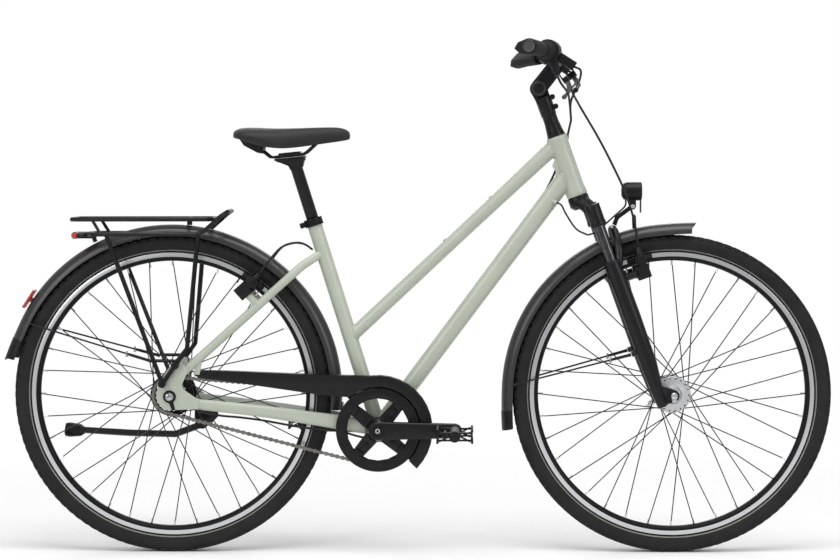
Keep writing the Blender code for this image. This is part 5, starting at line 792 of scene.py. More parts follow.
def modified(mesh, kind, **settings):
    """The plain mesh that one modifier makes. A key that is a socket's identifier sets it."""
    holder = bpy.data.objects.new("holder", mesh)
    bpy.context.scene.collection.objects.link(holder)
    modifier = holder.modifiers.new("shaping", kind)
    for name, value in settings.items():
        if name.startswith("Socket_"):
            modifier[name] = value
        else:
            setattr(modifier, name, value)
    bpy.context.view_layer.update()
    graph = bpy.context.evaluated_depsgraph_get()
    made = bpy.data.meshes.new_from_object(holder.evaluated_get(graph))
    bpy.data.objects.remove(holder, do_unlink=True)
    return made


def grown(tree, base=None, **values):
    """The plain mesh that a tree makes from these inputs, on a base mesh or none."""
    inputs = {}
    for item in tree.interface.items_tree:
        key = item.name.replace(" ", "_").lower()
        if item.in_out == "INPUT" and key in values:
            inputs[item.identifier] = values[key]
    return modified(base or bpy.data.meshes.new("empty"), "NODES", node_group=tree, **inputs)


def pattern(mesh):
    """A hidden object that a tree can copy."""
    holder = bpy.data.objects.new("pattern", mesh)
    holder.hide_render = True
    return holder


# %% [markdown]
# A point's angle is its number times the step between two points. Turning the point from
# the X axis by that angle puts it on the ring, and the same angle, taken from a quarter
# turn, stands its copy upright there.

# %% A ring of copies
def ring_tree():
    """Instances one object on a ring of points in the X-Z plane, its Z pointing outwards."""
    tree, given = new_tree("ring_of_copies", (
        ("Copied piece", "Object", None), ("Count", "Int", 36), ("Radius", "Float", 0.3),
        ("First angle", "Float", 0.0), ("Sideways", "Float", 0.0), ("Lean", "Float", 0.0),
        ("Centre", "Vector", None), ("Material", "Material", None),
    ))
    index = add(tree, "GeometryNodeInputIndex")
    step = add(tree, "ShaderNodeMath", {0: 2 * math.pi, 1: given["Count"]}, operation="DIVIDE")
    angle = add(tree, "ShaderNodeMath", {0: index, 1: step, 2: given["First angle"]},
                operation="MULTIPLY_ADD")
    start = add(tree, "ShaderNodeCombineXYZ", {"X": given["Radius"], "Y": given["Sideways"]})
    spot = add(tree, "ShaderNodeVectorRotate", {"Vector": start, "Angle": angle},
               rotation_type="Y_AXIS", invert=True)
    moved = add(tree, "ShaderNodeVectorMath", {0: spot, 1: given["Centre"]}, operation="ADD")
    points = add(tree, "GeometryNodePoints", {"Count": given["Count"], "Position": moved})
    upright = add(tree, "ShaderNodeMath", {0: math.pi / 2, 1: angle}, operation="SUBTRACT")
    spin = add(tree, "ShaderNodeCombineXYZ", {"X": given["Lean"], "Y": upright})
    copy = add(tree, "GeometryNodeObjectInfo", {"Object": given["Copied piece"]})
    placed = add(tree, "GeometryNodeInstanceOnPoints", {
        "Points": points, "Instance": copy.outputs["Geometry"], "Rotation": spin,
    })
    return deliver(tree, given, placed)


RING = ring_tree()
print("tree", RING.name, "with", len(RING.nodes), "nodes")

# %% [markdown]
# A trekking tread has slanted blocks in the middle, for a quiet run, and larger ones on the
# shoulders, for a hold in bends. The two middle rows stand half a pitch apart.

# %% Tread blocks
TREAD_PITCHES = 104
BLOCK_ROOT = -0.0012
BLOCK_TAPER = 0.80
TREAD_ROWS = (  # length, width, height, sideways, radius, lean in degrees, shift, skew
    (0.0150, 0.0064, 0.0013, 0.0042, 0.3521, -4, 0.0, 0.5),
    (0.0130, 0.0058, 0.0013, 0.0112, 0.3510, -16, 0.5, -0.4),
    (0.0150, 0.0056, 0.0026, 0.0168, 0.3484, -42, 0.0, 0.2),
)


def tread_block(length, width, height, skew):
    """One low rubber block, narrower at its top, slanted by skew."""
    return skin([
        [
            (x * length / 2 * shrink + skew * y * width / 2, y * width / 2 * shrink, level)
            for x, y in ((-1, -1), (1, -1), (1, 1), (-1, 1))
        ]
        for level, shrink in ((BLOCK_ROOT, 1.0), (height, BLOCK_TAPER))
    ])


def tread(centre):
    """Two rows of slanted centre blocks and a row of larger ones on each shoulder."""
    pitch = 2 * math.pi / TREAD_PITCHES
    rows = []
    for side in (RIGHT, LEFT):
        for length, width, height, sideways, radius, lean, shift, skew in TREAD_ROWS:
            block = pattern(tread_block(length, width, height, side * skew))
            rows.append(grown(
                RING, copied_piece=block, count=TREAD_PITCHES, radius=radius, sideways=side * sideways,
                first_angle=shift * pitch, lean=math.radians(side * lean), centre=centre,
                material=TYRE_RUBBER,
            ))
    return with_radius(joined(rows), centre)


# %% [markdown]
# A thin reflecting line is vulcanised into each sidewall, just above the rim.

# %% Tyres on their wheels
LINE_BAND = ((0.3192, 0.0118), (0.3216, 0.0144))
LINE_PROUD = 0.0002
LINE_SUNK = 0.0004


def reflecting_line(centre, side):
    """A band that stands a little proud of the sidewall and goes a little into it."""
    outer = [(radius, side * (y + LINE_PROUD)) for radius, y in LINE_BAND]
    inner = [(radius, side * (y - LINE_SUNK)) for radius, y in reversed(LINE_BAND)]
    return turned(outer + inner, ACROSS, centre, 160, closed=True)


for name, centre in WHEELS:
    body = name + "_wheel"
    casing = wheel_part(CASING, centre)
    place(name + "_tyre_casing", casing, TYRE_RUBBER, body, 50, (name + "_tyre",))
    place(name + "_tyre_tread", tread(centre), TYRE_RUBBER, body, 30)
    for side, word in SIDES:
        place(name + "_tyre_line_" + word, reflecting_line(centre, side), REFLECTIVE, body, 60)

# %% [markdown]
# The rim is a box section with a turned brake track on each side. The hub's spokes run
# tangent to its flange and cross three others, which is what carries the torque of braking
# and drive, so they are laid out by rule: the hole's angle on the flange, plus or minus six
# eighteenths of half a turn at the rim.

# %% Rim profiles
RIM = mirrored([
    (0.3105, 0.0100), (0.3158, 0.0101), (0.3166, 0.0110), (0.3165, 0.0121), (0.3158, 0.0124),
    (0.3150, 0.0119), (0.3052, 0.0119), (0.3046, 0.0118), (0.3030, 0.0114), (0.2995, 0.0092),
    (0.2972, 0.0062), (0.2966, 0.0030), (0.2965, 0.0),
])
# The machined band that the brake blocks rub, a little proud of the dyed rim.
BRAKE_TRACK = (
    (0.3062, 0.0116), (0.3062, 0.01235), (0.3150, 0.01235), (0.3154, 0.0122), (0.3154, 0.0116),
)
print("rim", len(RIM), "points across")

# %% Spokes
SPOKES = 36
LACING_REACH = 6 * math.pi / 18
FLANGE_HOLES = {"front": 0.0360, "rear": 0.0435}  # radius of the ring of holes
ELBOW_LIFT = 0.0014


def spoke_tree():
    """Lays every spoke from its flange hole to its place on the rim."""
    tree, given = new_tree("laced_spokes", (
        ("Count", "Int", SPOKES), ("Hole radius", "Float", 0.036), ("Rim radius", "Float", 0.2980),
        ("Flange offset", "Float", 0.0285), ("Rim offset", "Float", 0.0022),
        ("Thickness", "Float", 0.00125), ("Centre", "Vector", None), ("Material", "Material", None),
    ))
    index = add(tree, "GeometryNodeInputIndex")
    half = add(tree, "ShaderNodeMath", {0: index, 1: 2}, operation="DIVIDE")
    pair = add(tree, "ShaderNodeMath", {0: half}, operation="FLOOR")
    signs = []
    for counted in (index, pair):
        odd = add(tree, "ShaderNodeMath", {0: counted, 1: 2}, operation="MODULO")
        signs.append(add(tree, "ShaderNodeMath", {0: odd, 1: 2, 2: -1}, operation="MULTIPLY_ADD"))
    side, lean = signs
    step = add(tree, "ShaderNodeMath", {0: 2 * math.pi, 1: given["Count"]}, operation="DIVIDE")
    hole = add(tree, "ShaderNodeMath", {0: index, 1: step}, operation="MULTIPLY")
    reach = add(tree, "ShaderNodeMath", {0: lean, 1: LACING_REACH, 2: hole}, operation="MULTIPLY_ADD")
    ends = []
    for angle, radius, offset, lift in (
        (hole, given["Hole radius"], given["Flange offset"], ELBOW_LIFT),
        (reach, given["Rim radius"], given["Rim offset"], 0.0),
    ):
        lifted = add(tree, "ShaderNodeMath", {0: lean, 1: lift}, operation="MULTIPLY")
        y = add(tree, "ShaderNodeMath", {0: side, 1: offset, 2: lifted}, operation="MULTIPLY_ADD")
        start = add(tree, "ShaderNodeCombineXYZ", {"X": radius, "Y": y})
        spot = add(tree, "ShaderNodeVectorRotate", {"Vector": start, "Angle": angle},
                   rotation_type="Y_AXIS", invert=True)
        ends.append(add(tree, "ShaderNodeVectorMath", {0: spot, 1: given["Centre"]}, operation="ADD"))
    along = add(tree, "ShaderNodeVectorMath", {0: ends[1], 1: ends[0]}, operation="SUBTRACT")
    length = add(tree, "ShaderNodeVectorMath", {0: along}, operation="LENGTH").outputs["Value"]
    points = add(tree, "GeometryNodePoints", {"Count": given["Count"], "Position": ends[0]})
    wire = add(tree, "GeometryNodeMeshCylinder", {"Radius": given["Thickness"]}, Vertices=8, Depth=1.0)
    raised = add(tree, "GeometryNodeTransform", {"Geometry": wire, "Translation": (0, 0, 0.5)})
    placed = add(tree, "GeometryNodeInstanceOnPoints", {
        "Points": points,
        "Instance": raised,
        "Rotation": add(tree, "FunctionNodeAlignRotationToVector", {"Vector": along}, axis="Z"),
        "Scale": add(tree, "ShaderNodeCombineXYZ", {"Z": length}, X=1.0, Y=1.0),
    })
    return deliver(tree, given, placed)


LACING = spoke_tree()
print("tree", LACING.name, "with", len(LACING.nodes), "nodes")

# %% Rims, spokes and nipples on their wheels
NIPPLE = ((0, 0), (0.0021, 0), (0.0021, 0.0110), (0, 0.0110))
NIPPLE_RADIUS = 0.2860

for name, centre in WHEELS:
    body = name + "_wheel"
    rim = wheel_part(RIM, centre)
    place(name + "_rim_body", rim, RIM_BLACK, body, 35, (name + "_rim",))
    for side, word in SIDES:
        track = wheel_part([(radius, side * y) for radius, y in BRAKE_TRACK], centre)
        place(name + "_brake_track_" + word, track, RIM_METAL, body, 35)
    wires = grown(LACING, hole_radius=FLANGE_HOLES[name], centre=centre, material=SPOKE_STEEL)
    place(name + "_spokes", wires, SPOKE_STEEL, body, 60)
    nipple = pattern(turned(NIPPLE, UPWARD, Vector(), 8))
    nipples = grown(
        RING, copied_piece=nipple, count=SPOKES, radius=NIPPLE_RADIUS, centre=centre,
        first_angle=LACING_REACH, material=SILVER,
    )
    place(name + "_nipples", nipples, SILVER, body, 40)

# %% [markdown]
# A hub is a barrel between two flanges. The front one is bare turned aluminium, the rear one
# is a wider, blackened shell, because the gears are inside it.

# %% Hubs
def hub_skin(flange_radius, barrel_radius, half_length, centre):
    half = [
        (barrel_radius, 0.0), (barrel_radius, 0.0200), (barrel_radius * 1.02, 0.0228),
        (flange_radius - 0.0080, 0.0262), (flange_radius - 0.0010, 0.0268), (flange_radius, 0.0274),
        (flange_radius, 0.0298), (flange_radius - 0.0008, 0.0304), (flange_radius - 0.0090, 0.0306),
        (barrel_radius * 0.86, 0.0322), (barrel_radius * 0.70, 0.0335), (0.0160, half_length - 0.0040),
        (0.0150, half_length - 0.0012), (0.0115, half_length), (0.0055, half_length),
    ]
    return wheel_part([(radius, -y) for radius, y in reversed(half[1:])] + half, centre, 64)


for name, centre, flange_radius, barrel_radius, half_length, metal in (
    ("front", FRONT_AXLE, 0.0405, 0.0300, 0.0497, HUB_METAL),
    ("rear", REAR_AXLE, 0.0480, 0.0380, 0.0411, ANODISED),
):
    shell = hub_skin(flange_radius, barrel_radius, half_length, centre)
    place(name + "_hub_shell", shell, metal, name + "_wheel", 30, (name + "_hub",))

# %% [markdown]
# The flange of a hub has a hole for each spoke of its side. The same ring of copies that made
# the tread sets them out: a short dark plug for each hole, turned with the flange.

# %% Flange holes
PLUG = ((0, -0.0001), (0.0016, -0.0001), (0.0016, 0.0003), (0, 0.0003))
FLANGE_FACE = 0.0306

for name, centre in WHEELS:
    rows = []
    for side, first in ((RIGHT, 0.0), (LEFT, 2 * math.pi / SPOKES)):
        plug = pattern(turned(PLUG, (0, side, 0), Vector(), 10))
        rows.append(grown(
            RING, copied_piece=plug, count=SPOKES // 2, radius=FLANGE_HOLES[name],
            sideways=side * FLANGE_FACE, first_angle=first, centre=centre, material=DARK_STEEL,
        ))
    place(name + "_flange_holes", joined(rows), DARK_STEEL, name + "_wheel", 40)

# %% [markdown]
# ## Saddle
# The saddle is foam under one stretched cover: full over the sit bones, drawn in at the
# waist, and low at the nose. It is a closed skin over cross sections, from the widest part to
# the nose, rounded by subdivision, so its crown and its drawn-in sides come from one form.

# %% Saddle sections
SADDLE_STATIONS = (  # distance ahead of the rear axle, half width, top, lower edge
    (0.1390, 0.0420, 0.9350, 0.9240), (0.1440, 0.0600, 0.9405, 0.9215), (0.1560, 0.0745, 0.9450, 0.9190),
    (0.1750, 0.0810, 0.9462, 0.9130), (0.2000, 0.0790, 0.9455, 0.9050), (0.2250, 0.0680, 0.9442, 0.8995),
    (0.2500, 0.0540, 0.9440, 0.8990), (0.2800, 0.0410, 0.9447, 0.9020), (0.3150, 0.0310, 0.9458, 0.9065),
    (0.3500, 0.0255, 0.9466, 0.9115), (0.3750, 0.0220, 0.9460, 0.9150), (0.3900, 0.0170, 0.9410, 0.9175),
    (0.3970, 0.0100, 0.9335, 0.9200),
)
HOLLOW_DEPTH = 0.0016
HOLLOW_MIDDLE = 0.24
HOLLOW_REACH = 0.12


def saddle_section(x, half_width, top, edge):
    """One cross section: crown, side, rolled lower edge, and the flat roof inside."""
    depth = top - edge
    hollow = HOLLOW_DEPTH * max(0.0, 1 - abs(x - HOLLOW_MIDDLE) / HOLLOW_REACH)
    roof = min(edge + 0.0110, top - 0.0070)
    half = [
        (0.0, top - 0.0006 - hollow), (0.16, top - 0.0003 - hollow * 0.5), (0.34, top),
        (0.55, top - 0.04 * depth), (0.74, top - 0.13 * depth), (0.88, top - 0.27 * depth),
        (0.97, top - 0.46 * depth), (1.00, top - 0.66 * depth), (0.97, edge + 0.16 * depth),
        (0.91, edge + 0.03 * depth), (0.86, edge), (0.80, edge + 0.0020), (0.76, roof),
        (0.40, roof), (0.0, roof),
    ]
    loop = [at(x, z, share * half_width) for share, z in half]
    return loop + [at(x, z, -share * half_width) for share, z in reversed(half[1:-1])]


# %% Saddle
saddle_form = skin([saddle_section(*station) for station in SADDLE_STATIONS])
saddle_mesh = modified(saddle_form, "SUBSURF", levels=2, render_levels=2)
saddle = place("saddle_cover_piece", saddle_mesh, SADDLE_COVER, "seat", 60, ("saddle",))

# %% [markdown]
# ## Castings, tubes and mouldings
# A real edge is never knife sharp: a casting has a radius from its mould, a tube end is
# broken with a file, and each of them catches a thin line of light. The CAD solids have the
# right shapes with sharp edges, so a copy of each is merged, its flat areas joined, and its
# edges rounded by the width that its maker would give. The copy then stands for the solid.

# %% A rounded copy of a solid
CAD_MERGE = 1e-5
FLAT_WITHIN = math.radians(0.6)
EDGE_FROM = math.radians(32)


def rounded(name, width_mm):
    """A copy of a solid whose edges, sharper than EDGE_FROM, are rounded."""
    graph = bmesh.new()
    graph.from_mesh(nodes[name].data)
    bmesh.ops.remove_doubles(graph, verts=graph.verts, dist=CAD_MERGE)
    bmesh.ops.dissolve_limit(graph, verts=graph.verts, edges=graph.edges, angle_limit=FLAT_WITHIN)
    return modified(
        plain(graph), "BEVEL", width=width_mm / 1000, segments=2, limit_method="ANGLE",
        angle_limit=EDGE_FROM, miter_outer="MITER_ARC",
    )


# %% Rounded copies, by the width of their edges in millimetres
ROUNDED = {
    0.3: (
        "bottom_bracket", "rear_axle", "rear_sprocket", "chainring", "front_skewer", "qr_lever",
        "rear_mudguard_stay", "front_mudguard_stay", "lamp_bracket", "kickstand_bracket", "chain_guard",
    ),
    0.5: (
        "seat_clamp", "rear_reflector", "rack", "rack_light", "rear_brake_right", "rear_brake_left",
        "front_brake_right", "front_brake_left", "brake_lever_right", "brake_lever_left",
        "twist_shifter", "seatpost", "saddle_base", "headlamp", "front_pad_right", "front_pad_left",
        "rear_pad_right", "rear_pad_left", "kickstand",
    ),
    0.8: (
        "main_frame", "fork_upper", "fork_lowers", "stem_base", "stem_arm", "handlebar",
        "lever_mount_right", "lever_mount_left", "crank_right", "crank_left",
    ),
    1.5: ("grip_right", "grip_left"),
}
ROUNDED_SMOOTH = 38

for width_mm, members in ROUNDED.items():
    for name in members:
        solid = nodes[name]
        # The rear axle's nuts and ends are plated, and the rest keeps its solid's finish.
        material = CHROME if name == "rear_axle" else solid.data.materials[0]
        body = solid.parent.name.split(":")[1]
        place(name + "_rounded", rounded(name, width_mm), material, body, ROUNDED_SMOOTH, (name,))

# %% [markdown]
# ## Frame tubes
# The frame is welded aluminium. Its tubes are drawn to slightly squared ovals, and every
# joint is ringed by a weld bead, which the enamel softens but doesn't hide. Each tube is a
# skin over many close rings, so that its long highlight stays even, and each bead follows the
# line where one tube meets the next, found by marching along the tube until it touches.

# %% Where the tubes meet
BRACKET = at(0.4585, 0.2775)
HEAD_BOTTOM = at(0.9005, 0.7943)
STEER_DOWN = Vector((0.3338, 0, -0.9426))
STEER_AHEAD = Vector((0.9426, 0, 0.3338))
HEAD_LENGTH = 0.1385
HEAD_TOP = HEAD_BOTTOM - STEER_DOWN * HEAD_LENGTH
SEAT_UP = Vector((-0.29904, 0, 0.95424))
SEAT_TOP = BRACKET + SEAT_UP * 0.4880
TUBE_INSET = 0.004
DOWN_START = HEAD_BOTTOM - STEER_DOWN * 0.0505 - STEER_AHEAD * TUBE_INSET
TOP_START = HEAD_TOP + STEER_DOWN * 0.0155 - STEER_AHEAD * TUBE_INSET
TOP_END = BRACKET + SEAT_UP * 0.2109
DOWN_MIDDLE = (DOWN_START + BRACKET) / 2
print("down tube", round((DOWN_START - BRACKET).length, 3), "m")
print("top tube", round((TOP_END - TOP_START).length, 3), "m")


# %% A drawn tube
SKIN_LIFT = 0.00025
RINGS_PER_SPAN = 12


def cross_section(direction):
    """The sideways and the upward direction of a tube's section."""
    side = (ACROSS - direction * direction.y).normalized()
    return side, side.cross(direction)


def oval_skin(stations, sides=32, squareness=2.0):
    """A drawn tube through stations of centre, half height and half width, in close rings."""
    path = smooth_path([centre for centre, _, _ in stations], RINGS_PER_SPAN)
    sizes = smooth_path([Vector((height, width, 0)) for _, height, width in stations], RINGS_PER_SPAN)
    rings = []
    for (point, along, _, _), size in zip(frames_along(path), sizes):
        side, up = cross_section(along)
        ring = []
        for c, s in circle(sides):
            c = math.copysign(abs(c) ** (2 / squareness), c)
            s = math.copysign(abs(s) ** (2 / squareness), s)
            ring.append(point + up * (size.x + SKIN_LIFT) * c + side * (size.y + SKIN_LIFT) * s)
        rings.append(ring)
    return skin(rings)


# %% A weld bead
BEAD_POINTS = 56
BEAD_RIPPLE = 0.16
MARCH_STEP = 0.0005
MARCH_STEPS = 400


def weld(origin, direction, half_height, half_width, axis_point, axis_way, radius, bead=0.0021):
    """A bead round an oval tube where it meets a round one."""
    direction = direction.normalized()
    side, up = cross_section(direction)
    ring = []
    for c, s in circle(BEAD_POINTS):
        spot = origin + up * half_height * c + side * half_width * s
        for _ in range(MARCH_STEPS):
            away = spot - axis_point
            away -= axis_way * away.dot(axis_way)
            if away.length > radius:
                break
            spot += direction * MARCH_STEP
        ring.append(spot)
    scales = [bead * (1 + BEAD_RIPPLE * math.sin(k * 2.6)) for k in range(BEAD_POINTS)]
    return tube(ring, scales, 10, closed=True)


# %% Main tubes and their beads
down_tube = oval_skin([
    (DOWN_START, 0.0207, 0.0177),
    (DOWN_START.lerp(DOWN_MIDDLE, 0.5), 0.0196, 0.0180),
    (DOWN_MIDDLE, 0.0188, 0.0188),
    (DOWN_MIDDLE.lerp(BRACKET, 0.7), 0.0184, 0.0203),
    (BRACKET.lerp(DOWN_MIDDLE, 0.06), 0.0181, 0.0214),
], squareness=2.3)
top_tube = oval_skin([
    (TOP_START, 0.0168, 0.0152),
    (TOP_START.lerp(TOP_END, 0.4), 0.0145, 0.0160),
    (TOP_START.lerp(TOP_END, 0.8), 0.0145, 0.0145),
    (TOP_END, 0.0145, 0.0130),
])
seat_line = smooth_path([BRACKET, (BRACKET + SEAT_TOP) / 2, SEAT_TOP - SEAT_UP * 0.001], 24)
seat_tube = tube(seat_line, 0.01645, 40)
head_tube = turned([
    (0.0200, -0.0002), (0.0232, -0.0002), (0.0235, 0.0004), (0.0235, 0.0095),
    (0.0218, 0.0170), (0.0217, 0.0700), (0.0218, 0.1215), (0.0235, 0.1290),
    (0.0235, 0.1381), (0.0232, 0.1387), (0.0200, 0.1387),
], -STEER_DOWN, HEAD_BOTTOM, 56, closed=True)
tubes = joined([down_tube, top_tube, seat_tube, head_tube])
place("frame_tubes", tubes, SAGE, "frame", 50)
beads = [
    weld(DOWN_START, DOWN_MIDDLE - DOWN_START, 0.0200, 0.0174, HEAD_BOTTOM, STEER_DOWN, 0.0222, 0.0026),
    weld(TOP_START, TOP_END - TOP_START, 0.0164, 0.0150, HEAD_BOTTOM, STEER_DOWN, 0.0222, 0.0024),
    weld(TOP_END, TOP_START - TOP_END, 0.0142, 0.0130, BRACKET, SEAT_UP, 0.0168),
    weld(BRACKET, SEAT_UP, 0.0162, 0.0162, BRACKET, ACROSS, 0.0218),
    weld(BRACKET, DOWN_MIDDLE - BRACKET, 0.0182, 0.0208, BRACKET, ACROSS, 0.0218, 0.0024),
]
place("frame_weld_beads", joined(beads), SAGE, "frame", 60)

# %% [markdown]
# The rounded frame lies just under these skins. Where it follows a tube it is drawn in by
# less than a millimetre, so that its flat facets can't come through the skin.

# %% Draw the frame in under its skins
SINK_DEPTH = 0.0007
SINK_INNER = 0.004


def sink(mesh, lines):
    """Draws the points of a mesh that lie round a tube a little toward its axis."""
    moved = 0
    for point in mesh.vertices:
        for start, end, reach in lines:
            along = end - start
            share = min(1.0, max(0.0, (point.co - start).dot(along) / along.length_squared))
            away = point.co - start - along * share
            if SINK_INNER < away.length < reach:
                point.co -= away.normalized() * SINK_DEPTH
                moved += 1
                break
    print("drawn in", moved, "points of", len(mesh.vertices))


sink(bpy.data.objects["main_frame_rounded"].data, (
    (DOWN_START, BRACKET, 0.0235), (TOP_START, TOP_END, 0.0185),
    (BRACKET, SEAT_TOP, 0.0185), (HEAD_BOTTOM, HEAD_TOP, 0.0240),
))

# %% Seat stays and chain stays
stays = []
for side in (RIGHT, LEFT):
    seat_stay = (
        BRACKET + SEAT_UP * 0.4100 + Vector((0, side * 0.0060, 0)), at(0.2900, 0.6390, side * 0.0270),
        at(0.2560, 0.6090, side * 0.0405), at(0.1810, 0.5420, side * 0.0475),
        at(0.0700, 0.4430, side * 0.0590), at(0.0080, 0.3870, side * 0.0660),
    )
    stays.append(oval_skin([(centre, 0.0090, 0.0068) for centre in seat_stay], 24))
    stays.append(oval_skin([
        (at(0.0180, 0.3410, side * 0.0650), 0.0105, 0.0060),
        (at(0.0650, 0.3350, side * 0.0625), 0.0115, 0.0085),
        (at(0.2000, 0.3190, side * 0.0510), 0.0125, 0.0085),
        (at(0.3200, 0.3010, side * 0.0385), 0.0150, 0.0080),
        (at(0.3850, 0.2905, side * 0.0310), 0.0165, 0.0070),
        (BRACKET + Vector((-0.010, side * 0.0240, 0.002)), 0.0165, 0.0080),
    ], 24, 2.4))
place("frame_stays", joined(stays), SAGE, "frame", 50)

# %% [markdown]
# ## Mudguards
# A mudguard is an extruded strip of polycarbonate bent round the wheel: rounded across, with
# its sides hanging down past the tyre's edge, and a softer flap at its end that flares away
# from the wheel. The strip and the flap are skins over the same cross section.

# %% Mudguard shells
GUARD_RADIUS = 0.3777
GUARD_HALF_WIDTH = 0.0277
GUARD_SIDE = 0.0245
GUARD_WALL = 0.0016
GUARD_HALF_STEPS = 8
FLARE = 0.0070
FLARE_DEGREES = 14


def guard_shell(centre, start, end, flares, slants, steps, lift=0.0):
    """A strip from one angle to another, in degrees. slants cut its ends."""
    rings = []
    outside = range(-GUARD_HALF_STEPS, GUARD_HALF_STEPS + 1)
    for index in range(steps + 1):
        angle = math.radians(start + (end - start) * index / steps)
        flare = 0.0
        for edge, size in zip((start, end), flares):
            near = max(0.0, 1 - abs(math.degrees(angle) - edge) / FLARE_DEGREES)
            flare += size * near ** 2
        slant = math.radians(slants[0] * (index == 0) + slants[1] * (index == steps))
        ring = []
        for wall, order in ((0.0, outside), (GUARD_WALL, outside[::-1])):
            for k in order:
                bend = math.pi / 2 * k / GUARD_HALF_STEPS
                y = (GUARD_HALF_WIDTH + lift - wall) * math.sin(bend)
                fall = (GUARD_SIDE - wall) * (1 - math.cos(bend))
                radius = GUARD_RADIUS + flare + lift - fall - wall
                ring.append(round_point(centre, radius, angle + slant * fall / GUARD_SIDE, y))
        rings.append(ring)
    return skin(rings)


def round_point(centre, radius, angle, y=0.0):
    """A point at an angle round a centre, in the plane of the wheels."""
    return centre + Vector((radius * math.cos(angle), y, radius * math.sin(angle)))


rear_shell = guard_shell(REAR_AXLE, -5.6, 168.4, (0.0, FLARE), (0.0, -2.9), 110)
rear_flap = guard_shell(REAR_AXLE, 160.5, 168.7, (0.0, FLARE), (0.0, -2.9), 8, 0.0009)
front_shell = guard_shell(FRONT_AXLE, 82.0, 191.8, (FLARE, FLARE), (2.9, 0.0), 80)
front_flap = guard_shell(FRONT_AXLE, 185.8, 192.3, (0.0, FLARE), (0.0, 0.0), 8, 0.0011)
for name, body, shell, flap in (
    ("rear_mudguard", "frame", rear_shell, rear_flap),
    ("front_mudguard", "suspension", front_shell, front_flap),
):
    place(name + "_shell", shell, GUARD_PLASTIC, body, 50, (name,))
    place(name + "_flap", flap, BLACK_NYLON, body, 50)

# %% [markdown]
# ## Chain
# A bicycle chain is pairs of waisted plates, outer and inner in turn, on pins half an inch
# apart. Its path is two straight runs and the arcs of the two chain wheels. The pin places
# are worked out from the tooth counts, and a tree copies the two kinds of link along them.

# %% Chain path
CHAIN_PITCH = 0.0127
RING_TEETH = 40
SPROCKET_TEETH = 20
CHAIN_LINE = 0.0425


def chain_points():
    """Even points along the closed path of the chain, a pitch apart."""
    span = BRACKET - REAR_AXLE
    distance = math.hypot(span.x, span.z)
    tilt = math.atan2(span.z, span.x)
    ring = CHAIN_PITCH / (2 * math.sin(math.pi / RING_TEETH))
    cog = CHAIN_PITCH / (2 * math.sin(math.pi / SPROCKET_TEETH))
    lean = math.asin((ring - cog) / distance)
    straight = distance * math.cos(lean)
    legs = (ring * (math.pi + 2 * lean), straight, cog * (math.pi - 2 * lean), straight)
    count = 2 * round(sum(legs) / CHAIN_PITCH / 2)
    upper, lower = tilt + math.pi / 2 + lean, tilt - math.pi / 2 - lean
    points = []
    for k in range(count):
        way = sum(legs) * k / count
        if way < legs[0]:
            spot = round_point(BRACKET, ring, upper - way / ring)
        elif way < legs[0] + legs[1]:
            share = (way - legs[0]) / straight
            spot = round_point(BRACKET, ring, lower).lerp(round_point(REAR_AXLE, cog, lower), share)
        elif way < sum(legs[:3]):
            spot = round_point(REAR_AXLE, cog, lower - (way - legs[0] - legs[1]) / cog)
        else:
            share = (way - sum(legs[:3])) / straight
            spot = round_point(REAR_AXLE, cog, upper).lerp(round_point(BRACKET, ring, upper), share)
        points.append(spot - ACROSS * CHAIN_LINE)
    return points


# %% Two kinds of link
PLATE_END = 0.0042
PLATE_WAIST = 0.0022
OUTER_LINK = (0.0031, 0.0040, 0.0017, 0.0044)  # plates outside, on the pins' ends
INNER_LINK = (0.0021, 0.0030, 0.0038, 0.0021)  # plates inside, with a roller at each end


def flat_plate(outline, low, high):
    """A plate in the X-Z plane between two heights along Y."""
    return skin([[Vector((x, y, z)) for x, z in outline] for y in (low, high)])


def link_outline():
    """A waisted plate round its two holes."""
    outline = []
    half = CHAIN_PITCH / 2
    for centre, start, waist in ((half, -100, PLATE_WAIST), (-half, 80, -PLATE_WAIST)):
        for k in range(7):
            angle = math.radians(start + 200 * k / 6)
            outline.append((centre + PLATE_END * math.cos(angle), PLATE_END * math.sin(angle)))
        outline.append((0.0, waist))
    return outline


def link(inside, outside, radius, reach):
    """Two plates between inside and outside, and a barrel of this radius at each hole."""
    pieces = []
    for side in (RIGHT, LEFT):
        low, high = sorted((side * inside, side * outside))
        pieces.append(flat_plate(link_outline(), low, high))
    barrel = [(0, -reach), (radius, -reach), (radius, reach), (0, reach)]
    for end in (-CHAIN_PITCH / 2, CHAIN_PITCH / 2):
        pieces.append(turned(barrel, ACROSS, Vector((end, 0, 0)), 8))
    return pattern(joined(pieces))


# %% A chain of links
def chain_tree():
    """Copies one link on the even points of a line and another on the odd ones."""
    tree, given = new_tree("chain_of_links", (
        ("Line", "Geometry", None), ("Outer link", "Object", None),
        ("Inner link", "Object", None), ("Material", "Material", None),
    ))
    turn = add(tree, "GeometryNodeInputNamedAttribute", {"Name": "turn"}, data_type="FLOAT")
    spin = add(tree, "ShaderNodeCombineXYZ", {"Y": turn.outputs["Attribute"]})
    index = add(tree, "GeometryNodeInputIndex")
    odd = add(tree, "ShaderNodeMath", {0: index, 1: 2}, operation="MODULO")
    even = add(tree, "ShaderNodeMath", {0: 1, 1: odd}, operation="SUBTRACT")
    both = add(tree, "GeometryNodeJoinGeometry")
    for socket, chosen in (("Outer link", even), ("Inner link", odd)):
        copy = add(tree, "GeometryNodeObjectInfo", {"Object": given[socket]})
        placed = add(tree, "GeometryNodeInstanceOnPoints", {
            "Points": given["Line"], "Selection": chosen.outputs[0],
            "Instance": copy.outputs["Geometry"], "Rotation": spin,
        })
        tree.links.new(placed.outputs[0], both.inputs[0])
    return deliver(tree, given, both)


